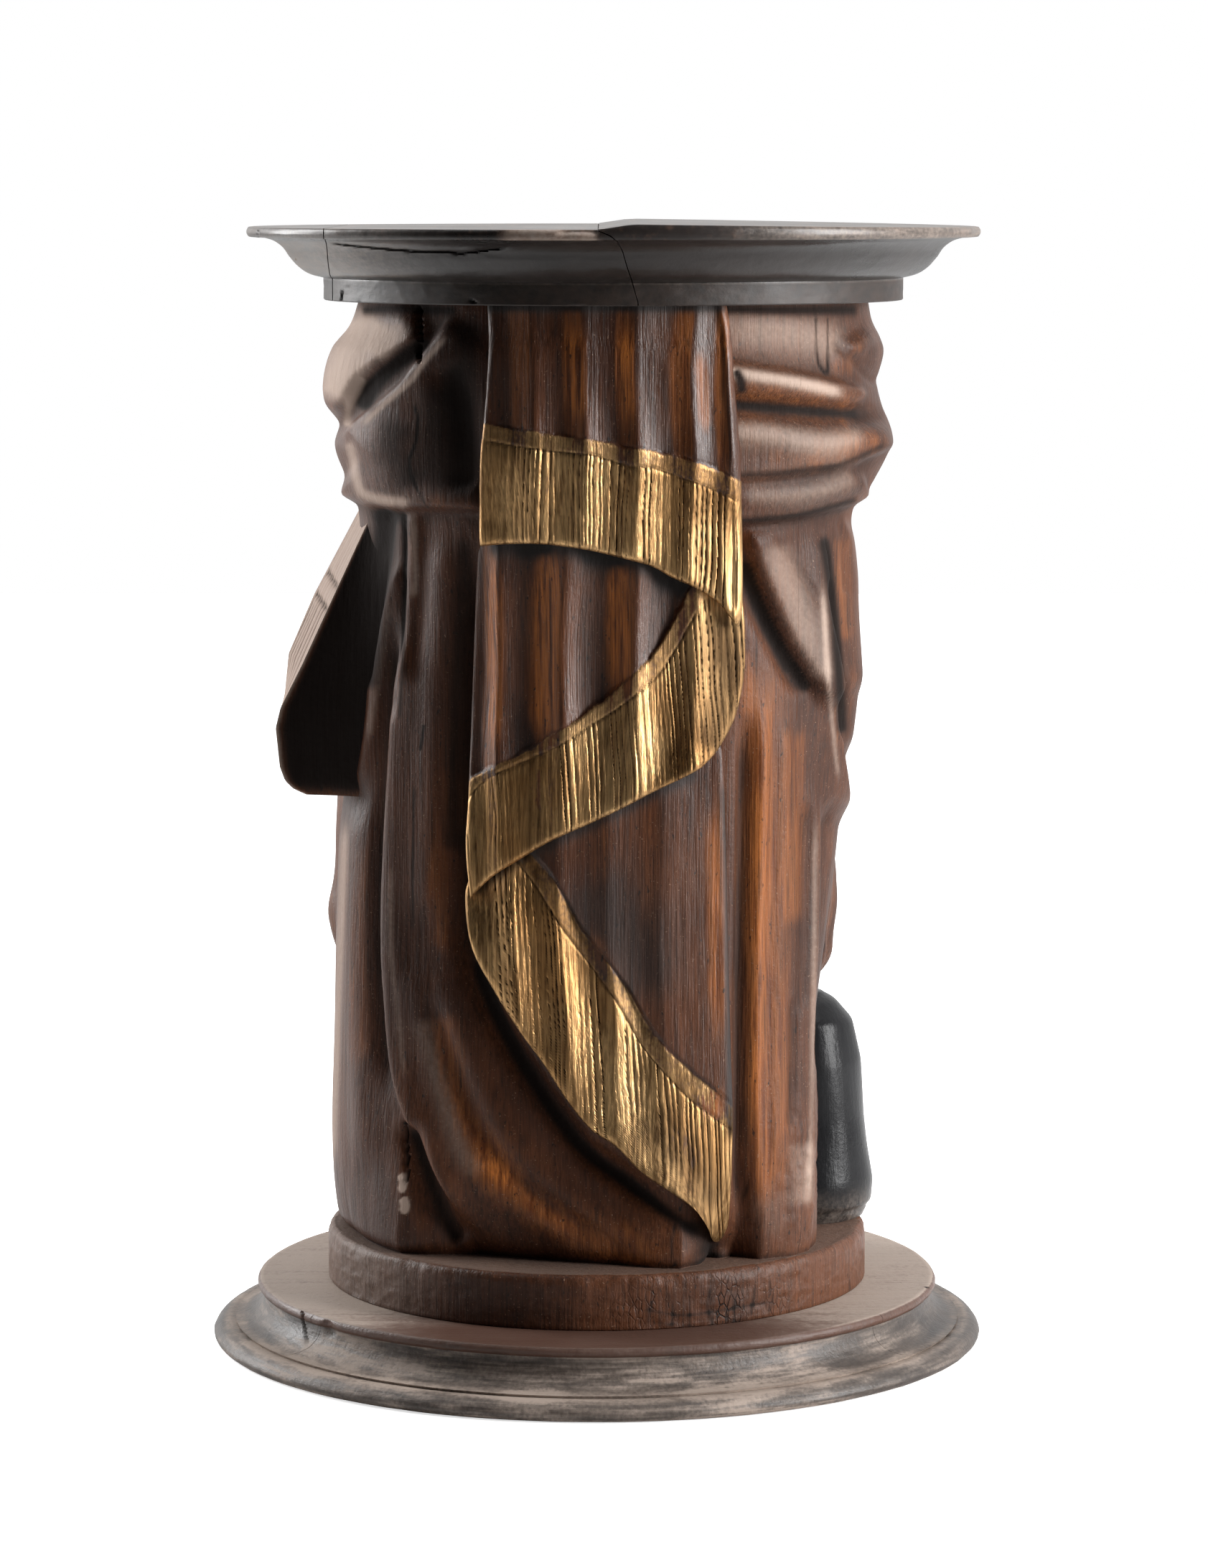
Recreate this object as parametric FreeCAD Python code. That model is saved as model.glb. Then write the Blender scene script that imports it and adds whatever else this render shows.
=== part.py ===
import FreeCAD, Part
import math
import os

from FreeCAD import Vector

# A carved plant stand: the draped lower body of a figure on a stepped round base, under a round
# moulded top. All lengths are millimetres. The origin is on the floor under the middle of the
# base, +Z is up, and the figure's back, with the hanging sash, looks along -Y.

# Base, lower layer: a rounded foot moulding
foot_radius = 255.0
foot_bottom_radius = 249.5
foot_shoulder_radius = 242.0
foot_height = 12.4
foot_nose_height = 5.2

# Base, upper layer: a disc with a hollow moulding under its nosing
hollow_rim_radius = 240.6
hollow_rim_height = 1.6
hollow_throat_radius = 220.5
disc_radius = 225.7
disc_layer_height = 28.4
disc_nosing_height = 6.4
hollow_depth_share = 0.78
hollow_rise_share = 0.34

# Drum that the figure stands on, one with the figure's blocks
drum_radius = 178.6
drum_height = 35.3

# Figure: height above the drum, widest reach at the hips, and how far its top leans to +X
figure_height = 609.7
figure_radius = 182.0
lean_offset = 10.9

# Upright seams of the figure's glued blocks, left and right of the base axis
seam_left = 121.0
seam_right = 128.0

# Hanging sash: how far each length stands proud of the robe
fall_thickness = 12.0
fold_thickness = 9.5
tail_thickness = 7.0

# Flared sash end on the left side
side_sash_drop = 186.0
side_sash_bottom = 362.0
side_sash_reach = 208.5
side_sash_depth = 95.0

# Baggy trouser legs in the open front of the robe
leg_height = 352.0
leg_width = 148.0
leg_depth = 144.0
leg_right_place = 89.0
leg_left_place = 104.0
leg_forward = 50.0

# Boots on the drum
boot_height = 150.0
boot_width = 90.0
boot_length = 127.0
boot_right_place = 139.8
boot_left_place = 108.0
boot_heel_place = 22.0
boot_left_step = 28.0

# Top: neck band, cyma moulding and lip. The cyma's points are shares of its width and height.
neck_radius = 188.7
neck_height = 14.4
cyma_height = 26.3
cyma_top_radius = 229.0
lip_radius = 238.6
lip_thickness = 6.6
cupped_rise = 3.4
cyma_shares = ((0.0, 0.0), (0.30, 0.08), (0.47, 0.28), (0.57, 0.50), (0.66, 0.72), (0.80, 0.90), (1.0, 1.0))

# Joints of the planks: the top's run front to back, at shares of its lip's reach, and the base's
# run left to right
top_joint_left_share = 0.7544007
top_joint_right_share = 0.0335289
disc_joint_front = 131.0
disc_joint_back = 120.0
foot_joint_back = 58.0

# Dowels, pins and screws
dowel_radius = 5.0
dowel_length = 48.0
fixing_dowel_radius = 8.0
fixing_dowel_length = 70.0
pin_radius = 4.0
pin_length = 48.0
layer_screw_radius = 2.5
layer_screw_length = 30.0
figure_screw_radius = 4.0
figure_screw_length = 105.0
screw_head_height = 4.0
screw_recess = 2.0
fixing_clearance = 0.1

# Extra length of every cutting shape
overrun = 20.0

# Levels worked out from the sizes above
disc_top = foot_height + disc_layer_height
figure_bottom = disc_top + drum_height
figure_top = figure_bottom + figure_height
lip_bottom = figure_top + neck_height + cyma_height
stand_top = lip_bottom + lip_thickness
top_joint_left = top_joint_left_share * lip_radius
top_joint_right = top_joint_right_share * lip_radius
wide = foot_radius + overrun

# Reach of the robe from its leaning axis, as shares of the hip reach, at shares of the height.
# The eight columns go round from the back: back, back right, right, front right, front,
# front left, left, back left.
robe_reach_shares = (
    (-0.050, (0.80, 0.935, 0.70, 0.55, 0.45, 0.60, 0.950, 0.91)),
    (0.000, (0.80, 0.935, 0.70, 0.55, 0.45, 0.60, 0.955, 0.91)),
    (0.030, (0.80, 0.94, 0.71, 0.55, 0.45, 0.60, 0.970, 0.91)),
    (0.100, (0.80, 0.93, 0.72, 0.56, 0.46, 0.60, 0.970, 0.89)),
    (0.200, (0.80, 0.91, 0.74, 0.57, 0.48, 0.61, 0.960, 0.87)),
    (0.300, (0.80, 0.90, 0.78, 0.59, 0.50, 0.63, 0.957, 0.87)),
    (0.400, (0.81, 0.89, 0.82, 0.62, 0.54, 0.66, 0.950, 0.87)),
    (0.500, (0.82, 0.89, 0.85, 0.66, 0.58, 0.69, 0.930, 0.87)),
    (0.600, (0.83, 0.89, 0.88, 0.72, 0.64, 0.73, 0.910, 0.87)),
    (0.700, (0.85, 0.89, 0.87, 0.78, 0.72, 0.79, 0.895, 0.88)),
    (0.775, (0.88, 0.90, 0.87, 0.86, 0.83, 0.86, 0.900, 0.90)),
    (0.810, (0.90, 0.94, 0.95, 0.94, 0.92, 0.94, 0.945, 0.93)),
    (0.845, (0.92, 0.97, 1.00, 0.97, 0.94, 0.97, 0.990, 0.96)),
    (0.872, (0.92, 0.97, 0.99, 0.97, 0.94, 0.97, 0.970, 0.96)),
    (0.910, (0.92, 0.96, 0.95, 0.96, 0.93, 0.96, 0.995, 0.96)),
    (0.948, (0.92, 0.95, 0.97, 0.94, 0.92, 0.94, 0.975, 0.95)),
    (0.972, (0.91, 0.93, 0.93, 0.92, 0.90, 0.92, 0.920, 0.93)),
    (1.000, (0.91, 0.92, 0.91, 0.90, 0.88, 0.90, 0.898, 0.92)),
)

# Hem on the drum: degrees from the back towards the right, and reach as a share of the hip reach.
# It holds at the drum, between the two sides, and fades out over a length above it.
hem_fade = 42.0
hem_reach_shares = (
    (-110.0, 0.82), (-90.0, 0.95), (-72.0, 0.92), (-58.0, 0.94), (-49.0, 0.95), (-44.0, 0.90), (-38.0, 0.81),
    (-33.0, 0.76), (-14.0, 0.75), (5.0, 0.81), (13.0, 0.89), (19.0, 0.93), (24.0, 0.88), (30.0, 0.78),
    (36.0, 0.80), (39.0, 0.91), (47.0, 0.95), (57.0, 0.92), (67.0, 0.86), (80.0, 0.75), (100.0, 0.65),
)
hem_left_degrees = (-112.0, -90.0)
hem_right_degrees = (100.0, 80.0)

# Main folds of the robe: a path of (height share, degrees from the back towards the right), a half
# width and a rise, negative for a valley, as shares of the hip reach
robe_fold_shares = (
    # Left hip
    (((0.97, -34.0), (0.94, -44.0), (0.92, -52.0), (0.90, -60.0)), 0.045, -0.036),
    (((0.98, -36.0), (0.94, -42.0), (0.91, -50.0), (0.88, -62.0), (0.86, -69.0)), 0.040, 0.036),
    (((0.88, -51.0), (0.81, -52.0)), 0.120, 0.033),
    # Right hip
    (((0.90, 28.0), (0.89, 45.0), (0.88, 75.0)), 0.035, -0.022),
    (((0.87, 27.0), (0.86, 50.0), (0.86, 81.0)), 0.042, 0.030),
    (((0.825, 29.0), (0.83, 47.0), (0.845, 80.0)), 0.040, -0.028),
    (((0.81, 30.0), (0.81, 50.0), (0.82, 70.0)), 0.035, 0.028),
    # Right side, from the slanting fold to the side drape
    (((0.73, 31.0), (0.66, 40.0), (0.61, 48.0)), 0.035, -0.050),
    (((0.72, 59.0), (0.62, 64.0), (0.53, 69.0)), 0.045, -0.060),
    (((0.78, 66.0), (0.71, 78.0), (0.63, 86.0), (0.50, 86.0)), 0.080, 0.025),
    (((0.61, 37.5), (0.01, 37.5)), 0.040, 0.019),
    (((0.58, 33.0), (0.27, 33.0), (0.03, 36.0)), 0.040, -0.027),
    (((0.58, 44.0), (0.25, 43.0), (0.08, 42.0)), 0.042, 0.014),
    (((0.49, 64.0), (0.27, 64.0), (0.18, 61.0)), 0.045, -0.022),
    # Left side
    (((0.72, -55.0), (0.61, -64.0), (0.49, -69.0)), 0.050, 0.019),
    (((0.79, -49.0), (0.71, -51.0), (0.61, -54.0)), 0.040, 0.027),
    (((0.68, -57.0), (0.53, -60.0), (0.24, -59.0), (0.15, -54.0)), 0.045, -0.027),
    (((0.48, -71.0), (0.33, -69.0), (0.18, -65.0), (0.07, -60.0)), 0.120, 0.019),
    (((0.77, -39.0), (0.53, -43.0), (0.34, -44.0)), 0.075, 0.016),
    # Channel beside the sash, then the cloth that sweeps down to the hem
    (((0.77, -31.0), (0.62, -34.0), (0.40, -35.0), (0.34, -34.0), (0.28, -29.0), (0.19, -15.0), (0.12, -2.0),
      (0.06, 16.0), (0.03, 26.0)), 0.042, -0.050),
    (((0.32, -49.0), (0.24, -44.0), (0.16, -38.0), (0.11, -32.0), (0.07, -23.0), (0.03, -3.0)), 0.042, 0.025),
    (((0.32, -42.0), (0.25, -36.0), (0.17, -27.0), (0.09, -12.0), (0.02, 14.0)), 0.036, 0.025),
    (((0.14, -48.0), (0.09, -44.0), (0.01, -37.0)), 0.050, -0.044),
)

# Edges of cloth that lies over cloth: a path that has the high side on its right, the width of the
# drop, the reach of the high side and the rise, as shares of the hip reach
robe_edge_shares = (
    # Left hip, the rim of the rounded cloth and the underside of the swag
    (((0.96, -46.0), (0.93, -59.0), (0.91, -65.0), (0.87, -83.0)), 0.045, 0.170, 0.038),
    (((0.79, -29.0), (0.79, -61.0), (0.81, -77.0)), 0.050, 0.110, 0.044),
    # Right hip, the rolls of the swag
    (((0.94, 26.0), (0.92, 47.0), (0.90, 68.0)), 0.045, 0.080, 0.047),
    (((0.845, 87.0), (0.83, 56.0), (0.825, 28.0)), 0.045, 0.074, 0.025),
    (((0.79, 87.0), (0.79, 54.0), (0.78, 30.0)), 0.050, 0.084, 0.044),
    # Right side, the slanting fold, the side drape and the edge of the robe
    (((0.59, 56.0), (0.65, 45.0), (0.74, 34.0), (0.77, 32.0)), 0.045, 0.180, 0.033),
    (((0.77, 55.0), (0.68, 58.0), (0.58, 62.0), (0.48, 74.0), (0.43, 86.0)), 0.045, 0.120, 0.038),
    (((0.51, 55.0), (0.34, 59.0), (0.20, 57.0), (0.05, 54.0), (-0.03, 53.0)), 0.045, 0.063, 0.022),
    # Left side, the cloth that sweeps down to the hem
    (((0.02, -27.0), (0.06, -36.0), (0.12, -44.0), (0.17, -51.0), (0.26, -55.0), (0.38, -58.0), (0.67, -55.0)),
     0.045, 0.150, 0.038),
)
fold_fade_share = 0.12
unrolled_share = 0.88

# Sections of the robe: points round each, and how many lie below and above the waist
section_points = 144
waist_share = 0.76
skirt_sections = 26
hip_sections = 15

# Outlines of the sash lengths, seen from the back. Across is a share of the sash's half width
# from the leaning axis, up is a share of the figure's height. Each run is a smooth curve, or a
# straight line where it has two points, and the runs join end to end.
sash_half_width = 83.0
fall_outline_shares = (
    ((-0.98, 0.998), (-0.99, 0.880), (-0.99, 0.757)),
    ((-0.99, 0.757), (-0.48, 0.758), (0.06, 0.746), (0.60, 0.716), (0.96, 0.690)),
    ((0.96, 0.690), (1.00, 0.727), (0.96, 0.801), (0.83, 0.946), (0.77, 0.998)),
    ((0.77, 0.998), (-0.98, 0.998)),
)
fold_outline_shares = (
    ((0.90, 0.725), (1.00, 0.700), (1.03, 0.653), (0.92, 0.571), (0.70, 0.525)),
    ((0.70, 0.525), (0.04, 0.482), (-0.55, 0.438), (-1.00, 0.392)),
    ((-1.00, 0.392), (-1.04, 0.445), (-1.03, 0.505), (-1.00, 0.640), (-0.97, 0.780)),
    ((-0.97, 0.780), (0.00, 0.775), (0.90, 0.725)),
)
tail_outline_shares = (
    ((0.80, 0.560), (0.90, 0.500), (0.95, 0.371), (0.97, 0.180)),
    ((0.97, 0.180), (1.01, 0.131), (1.00, 0.055), (0.84, 0.022)),
    ((0.84, 0.022), (0.53, 0.086), (-0.02, 0.150), (-0.47, 0.214), (-0.94, 0.326), (-0.985, 0.425)),
    ((-0.985, 0.425), (-0.55, 0.475), (0.04, 0.520), (0.80, 0.560)),
)

# Side sash end: at each height share of its drop, the reach share of its back edge and of its
# outer edge. Its corners lie at shares of its depth, forward of the figure's axis.
side_sash_shares = (
    (0.00, 0.975, 0.972),
    (0.07, 0.990, 0.988),
    (0.24, 1.000, 0.998),
    (0.31, 0.985, 0.995),
    (0.47, 0.915, 0.980),
    (0.68, 0.830, 0.900),
    (1.00, 0.700, 0.750),
)
side_sash_back_share = -0.48
side_sash_outer_share = 0.30
side_sash_front_share = 0.46
side_sash_root_share = 0.62
side_sash_rear_root_share = -0.74

# Points round each section of a leg or boot
limb_points = 24

# Trouser legs: height share up from the boot, width share, reach back and forward as depth shares
leg_shares = (
    (0.00, 0.68, 0.26, 0.32),
    (0.05, 0.90, 0.42, 0.47),
    (0.15, 1.00, 0.50, 0.55),
    (0.30, 0.93, 0.48, 0.55),
    (0.55, 0.86, 0.46, 0.56),
    (0.80, 0.80, 0.44, 0.57),
    (1.00, 0.72, 0.40, 0.50),
)

# Boots: height share, width share, reach back and forward as shares of the boot's length
# behind and before the ankle
boot_ankle_share = 0.38
boot_shares = (
    (0.00, 0.84, 0.86, 0.93),
    (0.06, 0.97, 0.98, 1.00),
    (0.16, 1.00, 1.00, 0.98),
    (0.30, 0.93, 0.95, 0.80),
    (0.45, 0.87, 0.90, 0.56),
    (0.70, 0.81, 0.86, 0.48),
    (0.88, 0.68, 0.74, 0.42),
    (0.97, 0.42, 0.46, 0.27),
    (1.00, 0.22, 0.24, 0.14),
)

# Places of the dowels, pins and screws, as shares of the sizes named beside their use
top_dowel_shares = (-0.50, 0.0, 0.50)
top_left_dowel_shares = (-0.20, 0.20)
top_fixing_shares = ((-0.50, -0.35), (-0.50, 0.35), (0.55, -0.35), (0.55, 0.35))
block_dowel_shares = ((0.86, -0.15), (0.86, 0.20), (0.60, 0.0))
drum_dowel_shares = (-0.30, 0.08)
disc_dowel_shares = (-0.45, 0.0, 0.45)
layer_screw_ring_share = 0.86
layer_screw_count = 8
figure_screw_shares = ((-0.40, -0.40), (-0.40, 0.25), (0.40, -0.40), (0.40, 0.25))
side_pin_shares = (0.30, 0.50)
side_pin_reach_share = 0.80
boot_dowel_share = 0.30
screw_head_share = 2.0
drill_point_share = 0.50


def hermite(start, slope_start, end, slope_end, share):
    # Smooth curve from start to end with given slopes
    square = share * share
    cube = square * share
    return (start * (2 * cube - 3 * square + 1) + slope_start * (cube - 2 * square + share)
            + end * (3 * square - 2 * cube) + slope_end * (cube - square))


def ramp(share):
    # Smooth rise from 0 to 1
    share = min(max(share, 0), 1)
    return share * share * (3 - 2 * share)


def around(values, turn):
    # Value at a share of a full turn, smooth through equally spaced values that close on themselves
    count = len(values)
    place = (turn % 1.0) * count
    first = int(place)
    before, start, end, after = [values[(first + step - 1) % count] for step in range(4)]
    return hermite(start, (end - before) / 2, end, (after - start) / 2, place - first)


def plain_reach_share(turn, height_share):
    # Reach of the robe without hem and folds, smooth through the rows above and below
    last = len(robe_reach_shares) - 1
    low = max(row for row in range(last) if robe_reach_shares[row][0] <= height_share)
    rows = [robe_reach_shares[row] for row in (max(low - 1, 0), low, low + 1, min(low + 2, last))]
    levels = [row[0] for row in rows]
    below, start, end, above = [around(row[1], turn) for row in rows]
    span = levels[2] - levels[1]
    slope_start = (end - below) / (levels[2] - levels[0]) * span
    slope_end = (above - start) / (levels[3] - levels[1]) * span
    return hermite(start, slope_start, end, slope_end, (height_share - levels[1]) / span)


def hem_reach_share(degrees):
    # Reach of the hem, straight between its points
    for (low, reach_low), (high, reach_high) in zip(hem_reach_shares, hem_reach_shares[1:]):
        if low <= degrees <= high:
            return reach_low + (reach_high - reach_low) * (degrees - low) / (high - low)
    return hem_reach_shares[0][1] if degrees < hem_reach_shares[0][0] else hem_reach_shares[-1][1]


def hem_weight(degrees, height_share):
    # How much of the hem shows at one place: all at the drum on the back, none at the front
    height = max(height_share, 0) * figure_height
    left = ramp((degrees - hem_left_degrees[0]) / (hem_left_degrees[1] - hem_left_degrees[0]))
    right = ramp((degrees - hem_right_degrees[0]) / (hem_right_degrees[1] - hem_right_degrees[0]))
    return left * right * math.exp(-height / hem_fade)


def unrolled(height_share, degrees):
    # Place on the unrolled robe, in hip reaches
    return math.radians(degrees) * unrolled_share, height_share * figure_height / figure_radius


def beside_path(path, place):
    # Distance of a place from a path, positive to the right of its run, and the share of the run
    nearest = None
    count = len(path) - 1
    for step in range(count):
        run = (path[step + 1][0] - path[step][0], path[step + 1][1] - path[step][1])
        off = (place[0] - path[step][0], place[1] - path[step][1])
        share = (off[0] * run[0] + off[1] * run[1]) / (run[0] * run[0] + run[1] * run[1])
        share = min(max(share, 0), 1)
        off = (off[0] - share * run[0], off[1] - share * run[1])
        distance = math.hypot(*off)
        if nearest is None or distance < abs(nearest[0]):
            side = off[0] * run[1] - off[1] * run[0]
            nearest = (math.copysign(distance, side), (step + share) / count)
    return nearest


def ends_fade(run_share):
    # 1 along a fold, falling to 0 at both of its ends
    return ramp(run_share / fold_fade_share) * ramp((1 - run_share) / fold_fade_share)


robe_folds = [([unrolled(*place) for place in path], *sizes) for path, *sizes in robe_fold_shares]
robe_edges = [([unrolled(*place) for place in path], *sizes) for path, *sizes in robe_edge_shares]


def fold_rise_share(degrees, height_share):
    # Sum of the folds and edges at one place of the robe
    place = unrolled(height_share, degrees)
    total = 0
    for path, half_width, rise in robe_folds:
        off, run_share = beside_path(path, place)
        total += rise * math.exp(-(off / half_width) ** 2) * ends_fade(run_share)
    for path, drop_width, reach, rise in robe_edges:
        off, run_share = beside_path(path, place)
        profile = math.exp(-(off / reach) ** 2) if off > 0 else ramp(1 + off / drop_width)
        total += rise * profile * ends_fade(run_share)
    return total


def robe_reach(turn, height_share):
    # Reach of the carved robe from its leaning axis
    degrees = turn * 360 if turn <= 0.5 else turn * 360 - 360
    plain = plain_reach_share(turn, height_share)
    hem = (hem_reach_share(degrees) - plain) * hem_weight(degrees, height_share)
    return figure_radius * (plain + hem + fold_rise_share(degrees, height_share))


def closed_curve(points):
    # Smooth closed wire through points, all with the same even parameters
    curve = Part.BSplineCurve()
    curve.interpolate(Points=points, PeriodicFlag=True, Parameters=list(range(len(points) + 1)))
    return Part.Wire([curve.toShape()])


def lean_at(level):
    # How far the figure's axis has moved to +X at a level
    return lean_offset * (level - figure_bottom) / figure_height


def section_levels():
    # Height shares of the robe's sections, closer together above the waist
    low = robe_reach_shares[0][0]
    skirt = [low + (waist_share - low) * step / skirt_sections for step in range(skirt_sections)]
    hips = [waist_share + (1 - waist_share) * step / hip_sections for step in range(hip_sections + 1)]
    return skirt + hips


robe_turns = [step / section_points for step in range(section_points)]
robe_sections = [(level, [robe_reach(turn, level) for turn in robe_turns]) for level in section_levels()]


def robe_body(proud):
    # The carved robe as one solid, standing proud by a length: a smooth wall drawn to the sections,
    # clamped at its flat ends and closed on itself all round
    rows = []
    for height_share, reaches in robe_sections:
        level = figure_bottom + height_share * figure_height
        row = []
        for turn, reach in zip(robe_turns, reaches):
            angle = turn * 2 * math.pi
            across = (reach + proud) * math.sin(angle)
            row.append(Vector(lean_at(level) + across, -(reach + proud) * math.cos(angle), level))
        rows.append(row)
    degree = 3
    level_knots = list(range(len(rows) - degree + 1))
    level_repeats = [degree + 1] + [1] * (len(level_knots) - 2) + [degree + 1]
    turn_knots = list(range(section_points + 1))
    turn_repeats = [1] * len(turn_knots)
    surface = Part.BSplineSurface()
    surface.buildFromPolesMultsKnots(rows, level_repeats, turn_repeats, level_knots, turn_knots,
                                     False, True, degree, degree)
    wall = surface.toShape()
    ends = [Part.Face(Part.Wire([rim])) for rim in wall.Edges if rim.isClosed()]
    wall.reverse()
    return Part.Solid(Part.Shell([wall] + ends))


def slab(x_low, x_high, y_low, y_high, z_low, z_high):
    corner = Vector(x_low, y_low, z_low)
    return Part.makeBox(x_high - x_low, y_high - y_low, z_high - z_low, corner)


def arc(start, middle, end):
    return Part.Arc(start, middle, end).toShape()


def spline(points):
    curve = Part.BSplineCurve()
    curve.interpolate(Points=points)
    return curve.toShape()


def line(start, end):
    return Part.LineSegment(start, end).toShape()


def turned(edges, centre_x):
    # Solid of revolution about an upright axis at centre_x, from a closed profile in the XZ plane
    face = Part.Face(Part.Wire(edges))
    solid = face.revolve(Vector(0, 0, 0), Vector(0, 0, 1), 360)
    solid.translate(Vector(centre_x, 0, 0))
    return solid


def at(radius, level):
    return Vector(radius, 0, level)


def foot_layer():
    # Lower layer of the base: flat underside, rounded nose, rising convex shoulder
    nose = at(foot_radius, foot_nose_height)
    under = at((foot_bottom_radius + 2 * foot_radius) / 3, foot_nose_height / 3)
    shoulder = at((foot_radius + foot_shoulder_radius) / 2, (2 * foot_height + foot_nose_height) / 3)
    rim = at(foot_shoulder_radius, foot_height)
    bottom = at(foot_bottom_radius, 0)
    return turned([
        line(at(0, 0), bottom),
        arc(bottom, under, nose),
        arc(nose, shoulder, rim),
        line(rim, at(0, foot_height)),
        line(at(0, foot_height), at(0, 0)),
    ], 0)


def disc_layer():
    # Upper layer of the base: rim, hollow moulding, throat and rounded nosing
    rim_low = at(hollow_rim_radius - hollow_rim_height / 2, foot_height)
    rim_high = at(hollow_rim_radius, foot_height + hollow_rim_height)
    throat = at(hollow_throat_radius, disc_top - disc_nosing_height)
    hollow_width = hollow_rim_radius - hollow_throat_radius
    hollow_height = throat.z - rim_high.z
    hollow = at(hollow_rim_radius - hollow_depth_share * hollow_width,
                rim_high.z + hollow_rise_share * hollow_height)
    nosing_low = at(disc_radius - disc_nosing_height / 4, throat.z)
    nosing = at(disc_radius, disc_top - disc_nosing_height / 2)
    nosing_high = at(disc_radius - disc_nosing_height / 3, disc_top)
    return turned([
        line(at(0, foot_height), rim_low),
        line(rim_low, rim_high),
        arc(rim_high, hollow, throat),
        line(throat, nosing_low),
        arc(nosing_low, nosing, nosing_high),
        line(nosing_high, at(0, disc_top)),
        line(at(0, disc_top), at(0, foot_height)),
    ], 0)


def top_body(rise):
    # Round top: neck band, cyma that swells and then hollows out to the lip, flat upper face that
    # may rise above the lip's usual level
    neck_low = at(neck_radius, figure_top)
    neck_high = at(neck_radius, figure_top + neck_height)
    cyma_width = cyma_top_radius - neck_radius
    cyma = [at(neck_radius + out * cyma_width, neck_high.z + up * cyma_height) for out, up in cyma_shares]
    crown = stand_top + rise
    lip_low = at(lip_radius - lip_thickness / 3, lip_bottom)
    lip_nose = at(lip_radius, (lip_bottom + crown) / 2)
    lip_high = at(lip_radius - lip_thickness / 3, crown)
    return turned([
        line(at(0, figure_top), neck_low),
        line(neck_low, neck_high),
        spline(cyma),
        line(cyma[-1], lip_low),
        arc(lip_low, lip_nose, lip_high),
        line(lip_high, at(0, crown)),
        line(at(0, crown), at(0, figure_top)),
    ], lean_offset)


def rod(radius, length, middle, direction):
    # Round rod of a length, centred on a point
    start = middle - direction * (length / 2)
    return Part.makeCylinder(radius, length, start, direction)


def rods_and_holes(radius, length, middles, direction):
    # Rods, and the slightly larger holes that they sit in
    rods = [rod(radius, length, middle, direction) for middle in middles]
    hole_radius = radius + fixing_clearance
    hole_length = length + 2 * fixing_clearance
    holes = [rod(hole_radius, hole_length, middle, direction) for middle in middles]
    return rods, holes


def screw(radius, length, place):
    # Countersunk wood screw that points up, its head recessed in the underside of the base
    head_low = Vector(place.x, place.y, screw_recess)
    head = Part.makeCone(radius * screw_head_share, radius, screw_head_height, head_low)
    shank_length = length - screw_head_height - radius
    shank_low = head_low + Vector(0, 0, screw_head_height)
    shank = Part.makeCylinder(radius, shank_length, shank_low)
    tip_low = shank_low + Vector(0, 0, shank_length)
    tip = Part.makeCone(radius, radius * drill_point_share, radius, tip_low)
    return head.fuse([shank, tip]).removeSplitter()


def screw_hole(radius, length, place):
    # Hole for a screw, open at the underside
    wide_radius = radius * screw_head_share + fixing_clearance
    recess = Part.makeCylinder(wide_radius, screw_recess, Vector(place.x, place.y, 0))
    sink_low = Vector(place.x, place.y, screw_recess)
    sink = Part.makeCone(wide_radius, radius + fixing_clearance, screw_head_height, sink_low)
    bore = Part.makeCylinder(radius + fixing_clearance, length + fixing_clearance, sink_low)
    return recess.fuse([sink, bore])


def drilled(solid, holes):
    # The solid without those holes that reach into it
    near = [hole for hole in holes if hole.BoundBox.intersect(solid.BoundBox)]
    return largest(solid.cut(near)) if near else solid


def largest(shape):
    # The main solid of a cut, without slivers that a curved edge leaves
    return max(shape.Solids, key=lambda solid: solid.Volume)


def sash_point(across, up):
    level = figure_bottom + up * figure_height
    return Vector(lean_at(level) + across * sash_half_width, -wide, level)


def sash_block(outline):
    # Outline of one length of the sash, carried forward through the robe
    edges = []
    for run in outline:
        points = [sash_point(across, up) for across, up in run]
        edges.append(line(*points) if len(points) == 2 else spline(points))
    face = Part.Face(Part.Wire(edges))
    return face.extrude(Vector(0, wide, 0))


def rounded_section(centre_x, ankle_y, level, half_width, back, forward):
    # Closed oval section, with its own reach back and forward of the ankle line
    points = []
    for step in range(limb_points):
        angle = step * 2 * math.pi / limb_points
        across = math.sin(angle)
        along = math.cos(angle)
        length = forward if along > 0 else back
        points.append(Vector(centre_x + half_width * across, ankle_y + length * along, level))
    return closed_curve(points)


def trouser_leg(side, place):
    # Baggy leg that swells over the boot top and runs up under the hips
    bottom = figure_bottom + boot_height
    wires = []
    for up, across, back, forward in leg_shares:
        level = bottom + up * leg_height
        centre_x = lean_at(level) + side * place
        wires.append(rounded_section(centre_x, leg_forward, level, across * leg_width / 2,
                                     back * leg_depth, forward * leg_depth))
    return Part.makeLoft(wires, True, False)


def boot(side, place, step_forward):
    # Rounded boot with its heel to the back, standing on the drum
    ankle_y = boot_length * boot_ankle_share - boot_heel_place + step_forward
    back_length = boot_length * boot_ankle_share
    toe_length = boot_length - back_length
    wires = []
    for up, across, back, forward in boot_shares:
        level = figure_bottom + up * boot_height
        wires.append(rounded_section(side * place, ankle_y, level, across * boot_width / 2,
                                     back * back_length, forward * toe_length))
    return Part.makeLoft(wires, True, False)


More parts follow.
